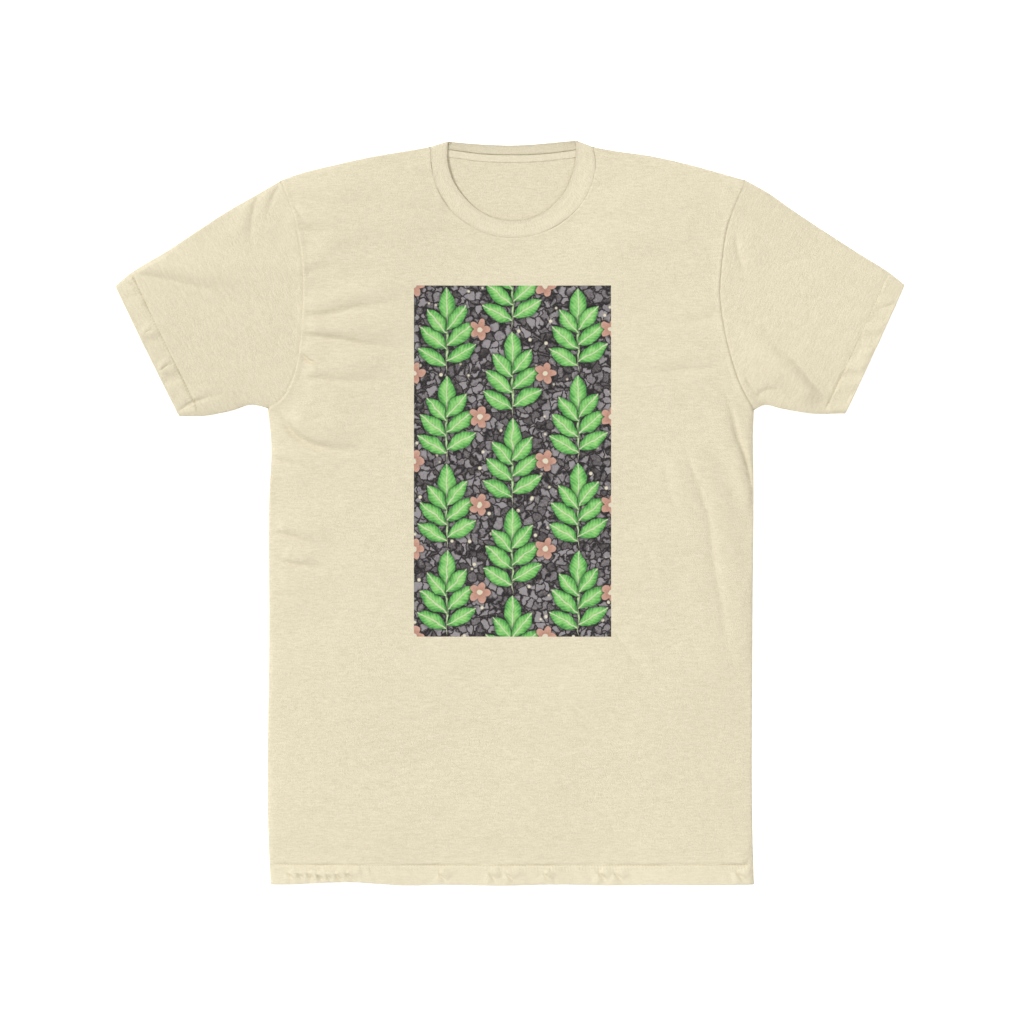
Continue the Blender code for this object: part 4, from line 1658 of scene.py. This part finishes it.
@dataclass
class Stitches:
    """Rows of stitches, each a short thread that comes up out of the cloth and goes down again.

    Attributes:
        plan: The lines of the shirt.
        lie: How it lies.
        pitch: The distance from one stitch to the next.
        length: The length of a stitch.
        thread: The thickness of the thread.
        sides: The sides of its section.
        inset: How far a row's ends stay from the closed edges.
    """

    plan: Plan
    lie: Lie
    pitch: float = STITCH_PITCH
    length: float = 2.3
    thread: float = 0.44
    sides: int = 6
    inset: float = 2.5

    def model(self) -> tuple[Array, list[tuple[int, ...]]]:
        """Model one stitch along X with its ends drawn down.

        Returns:
            Its points in millimetres and its faces.
        """
        bpy.ops.object.select_all(action="DESELECT")
        bpy.ops.mesh.primitive_cylinder_add(vertices=self.sides, radius=self.thread / 2,
                                            depth=self.length * 0.7, rotation=(0.0, math.pi / 2, 0.0))
        bpy.ops.object.transform_apply(location=False, rotation=True, scale=False)
        bpy.ops.object.mode_set(mode="EDIT")
        bpy.ops.mesh.select_all(action="SELECT")
        bpy.ops.mesh.bisect(plane_co=(0, 0, 0), plane_no=(1, 0, 0))
        for end in (-1, 1):
            bpy.ops.mesh.select_all(action="DESELECT")
            bpy.ops.object.mode_set(mode="OBJECT")
            for face in bpy.context.object.data.polygons:
                face.select = face.normal.x * end > 0.9
            bpy.ops.object.mode_set(mode="EDIT")
            drawn = {"value": (end * self.length * 0.15, 0, -self.thread / 2)}
            bpy.ops.mesh.extrude_region_move(TRANSFORM_OT_translate=drawn)
            bpy.ops.transform.resize(value=(1.0, 0.6, 0.6))
        bpy.ops.object.mode_set(mode="OBJECT")
        piece = bpy.context.object
        points = np.array([tuple(v.co) for v in piece.data.vertices])
        faces = [tuple(face.vertices) for face in piece.data.polygons]
        mesh = piece.data
        bpy.data.objects.remove(piece)
        bpy.data.meshes.remove(mesh)
        return points, faces

    def rows(self, line: Array, surface: Callable[[Array], Array], upwards: int) -> tuple[Array, Array]:
        """Where the stitches of one row lie.

        Args:
            line: The row in plan.
            surface: The height of the cloth's face at plan points.
            upwards: 1 where the face looks up, -1 where it looks down.

        Returns:
            The middles of the stitches, and their directions.
        """
        ends = evenly(line, self.pitch)
        path = np.column_stack([ends, surface(ends) + upwards * 0.02])
        run = path[1:] - path[:-1]
        return (path[1:] + path[:-1]) / 2, run / np.linalg.norm(run, axis=1, keepdims=True)

    def build(self, name: str, slot: str, threads: tuple[Finish, ...],
              lines: list[tuple[Array, Callable[[Array], Array], int]]) -> bpy.types.Object:
        """Sew rows of stitches as one piece.

        Args:
            name: The piece's name.
            slot: The name of a record's slot; not used.
            threads: The finishes of the threads, each for its share of the rows.
            lines: Each row's line, its surface and the way that its face looks.

        Returns:
            The piece.
        """
        model, model_faces = self.model()
        points, faces, finishes = [], [], []
        for number, (line, surface, upwards) in enumerate(lines):
            middles, runs = self.rows(line, surface, upwards)
            finishes += [number * len(threads) // len(lines)] * len(model_faces) * len(middles)
            for middle, run in zip(middles, runs):
                up = np.array([0.0, 0.0, float(upwards)])
                across = np.cross(up, run)
                across /= np.linalg.norm(across)
                axes = np.stack([run, across, np.cross(run, across)])
                start = len(points) * len(model)
                points.append(middle + model @ axes)
                faces += [tuple(start + i for i in face) for face in model_faces]
        piece = add_mesh(name, np.vstack(points), faces)
        for thread in threads:
            piece.data.materials.append(thread.get())
        piece.data.polygons.foreach_set("material_index", np.array(finishes, np.int32))
        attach(piece, BODY)
        return piece

    def front_face(self, xy: Array) -> Array:
        """The height of the front's outer face with all its relief."""
        return self.lie.top(xy, self.lie.distance(xy)[0])

    def back_face(self, xy: Array) -> Array:
        """The height of the back's outer face."""
        return self.lie.back(self.lie.distance(xy)[0]) + 0.15

    def hem(self) -> bpy.types.Object:
        """The two rows round the hem, on the front and on the back.

        Returns:
            The piece.
        """
        left, right = (self.plan.lines[side]["side_seam"][0, 0] for side in (Side.LEFT, Side.RIGHT))
        lines = []
        for row in STITCH_ROWS:
            y = HEM_Y + row
            for surface, upwards in ((self.front_face, 1), (self.back_face, -1)):
                lines.append((np.array([(right + self.inset, y), (left - self.inset, y)]), surface, upwards))
        # The row nearer the edge takes the paler copy of the thread, painted light, and the upper row the
        # darker, painted shade.
        return self.build("hem_stitches", "jersey", (Finish.LIT_THREAD, Finish.THREAD), lines)

    def cuff(self, side: Side) -> bpy.types.Object:
        """The two rows round a cuff, on the front and on the back.

        Args:
            side: The side of the shirt.

        Returns:
            The piece.
        """
        cuff, into = self.plan.cuff(side), self.plan.into(side)
        closed = [evenly(self.plan.lines[side][name], 0.5) for name in ("underarm", "sleeve_top")]
        lines = []
        for row in STITCH_ROWS:
            ends = np.array([line[np.argmin(np.abs((line - cuff[0]) @ into - row))] for line in closed])
            along = (ends[1] - ends[0]) / np.linalg.norm(ends[1] - ends[0])
            ends += np.array([along, -along]) * self.inset
            for surface, upwards in ((self.front_face, 1), (self.back_face, -1)):
                lines.append((ends, surface, upwards))
        # The row nearer the edge takes the paler copy of the thread, painted light, and the row farther in
        # the darker, painted shade.
        threads = (Finish.LIT_THREAD, Finish.THREAD)
        return self.build(f"{side.name.lower()}_cuff_stitches", "jersey", threads, lines)

    def tape(self, tape: NeckTape) -> bpy.types.Object:
        """The row along each edge of the neck tape.

        Args:
            tape: The tape that they hold.

        Returns:
            The piece.
        """
        top = tape.base + tape.thickness
        rows = [tape.upper(1.5) - [0.0, apart] for apart in (1.6, tape.width - 1.0)]
        lines = [(row, lambda xy: np.full(len(xy), top), 1) for row in rows]
        # Both rows take the paler copy of the thread, which paints a light line along the tape.
        return self.build("tape_stitches", "tape", (Finish.LIT_THREAD,), lines)


# The studio.


@dataclass(frozen=True)
class Studio:
    """The pale floor, the soft light and the camera straight above the shirt, in metres.

    Attributes:
        width_seen: The width that the camera sees at the cloth's height.
        lens: The camera's focal length, in millimetres.
        sensor: The width of its sensor, in millimetres.
        look_at: The middle of the view.
        cloth_height: The height of the cloth's face.
        sun_power: The strength of the key light, and sun_way the way that it shines.
        sun_width: How broad it looks, in degrees.
        fill_power: The power of the fill light, and fill_place its place.
        sky: The strength of the light from all round.
        floor_tone: How pale the floor is, and floor_glow how much light comes up through it.
    """

    width_seen: float = 1.024
    lens: float = 90.0
    sensor: float = 36.0
    look_at: tuple[float, float] = (0.002, 0.0)
    cloth_height: float = 0.008
    sun_power: float = 2.07
    sun_way: tuple[float, float, float] = (1.9, -1.15, -2.0)
    sun_width: float = 18.0
    fill_power: float = 44.0
    fill_place: tuple[float, float, float] = (0.8, -0.4, 3.3)
    sky: float = 0.42
    floor_tone: float = 0.94
    floor_glow: float = 0.5

    def build(self) -> None:
        """Build the studio."""
        scene = bpy.context.scene
        scene.view_settings.view_transform = "Standard"
        data = bpy.data.cameras.new("camera")
        data.lens = self.lens
        data.sensor_width = self.sensor
        camera = bpy.data.objects.new("camera", data)
        scene.collection.objects.link(camera)
        above = self.cloth_height + self.width_seen * self.lens / self.sensor
        camera.location = (*self.look_at, above)
        scene.camera = camera
        self.floor()
        sun = bpy.data.lights.new("key", "SUN")
        sun.energy = self.sun_power
        sun.angle = math.radians(self.sun_width)
        key = bpy.data.objects.new("key", sun)
        scene.collection.objects.link(key)
        key.rotation_euler = Vector(self.sun_way).to_track_quat("-Z", "Y").to_euler()
        self.light("fill", self.fill_place, 3.0, self.fill_power)
        world = bpy.data.worlds.new("world")
        world.use_nodes = True
        world.node_tree.nodes["Background"].inputs[0].default_value = (1.0, 1.0, 1.0, 1.0)
        world.node_tree.nodes["Background"].inputs[1].default_value = self.sky
        scene.world = world

    def floor(self) -> None:
        """The floor: white paper over a light table, whose glow softens the shirt's shadow."""
        bpy.ops.object.select_all(action="DESELECT")
        bpy.ops.mesh.primitive_plane_add(size=40.0, location=(0, 0, -0.0006))
        floor = bpy.context.object
        floor.name = "floor"
        made = bpy.data.materials.new("floor_paper")
        made.use_nodes = True
        shader = made.node_tree.nodes["Principled BSDF"]
        shader.inputs["Base Color"].default_value = (*[self.floor_tone] * 3, 1.0)
        shader.inputs["Roughness"].default_value = 0.9
        shader.inputs["Emission Color"].default_value = (1.0, 1.0, 1.0, 1.0)
        shader.inputs["Emission Strength"].default_value = self.floor_glow
        floor.data.materials.append(made)

    def light(self, name: str, place: tuple[float, float, float], size: float, power: float) -> None:
        """A square soft light that looks at the shirt.

        Args:
            name: Its name.
            place: Its place.
            size: The length of its side.
            power: Its power in watts.
        """
        data = bpy.data.lights.new(name, "AREA")
        data.size = size
        data.energy = power
        lamp = bpy.data.objects.new(name, data)
        bpy.context.scene.collection.objects.link(lamp)
        lamp.location = place
        lamp.rotation_euler = (-Vector(place)).to_track_quat("-Z", "Y").to_euler()


def main() -> None:
    """Build the shirt and the studio."""
    logging.basicConfig(level=logging.INFO, format="%(name)s: %(message)s")
    plan = Plan()
    lie = Lie(plan)
    tape = NeckTape(plan)
    builders = (
        BodyPanel(plan, lie, Layer.FRONT, step=3.8),
        BodyPanel(plan, lie, Layer.BACK, step=4.2),
        Sleeve(plan, lie, Side.LEFT),
        Sleeve(plan, lie, Side.RIGHT),
        Collar(plan, lie),
        tape,
    )
    pieces = [builder.build() for builder in builders]
    stitches = Stitches(plan, lie)
    pieces += [stitches.hem(), stitches.cuff(Side.LEFT), stitches.cuff(Side.RIGHT), stitches.tape(tape)]
    for piece in pieces:
        log.info("%s: %d faces", piece.name, len(piece.data.polygons))
    Studio().build()


if __name__ == "__main__":
    main()
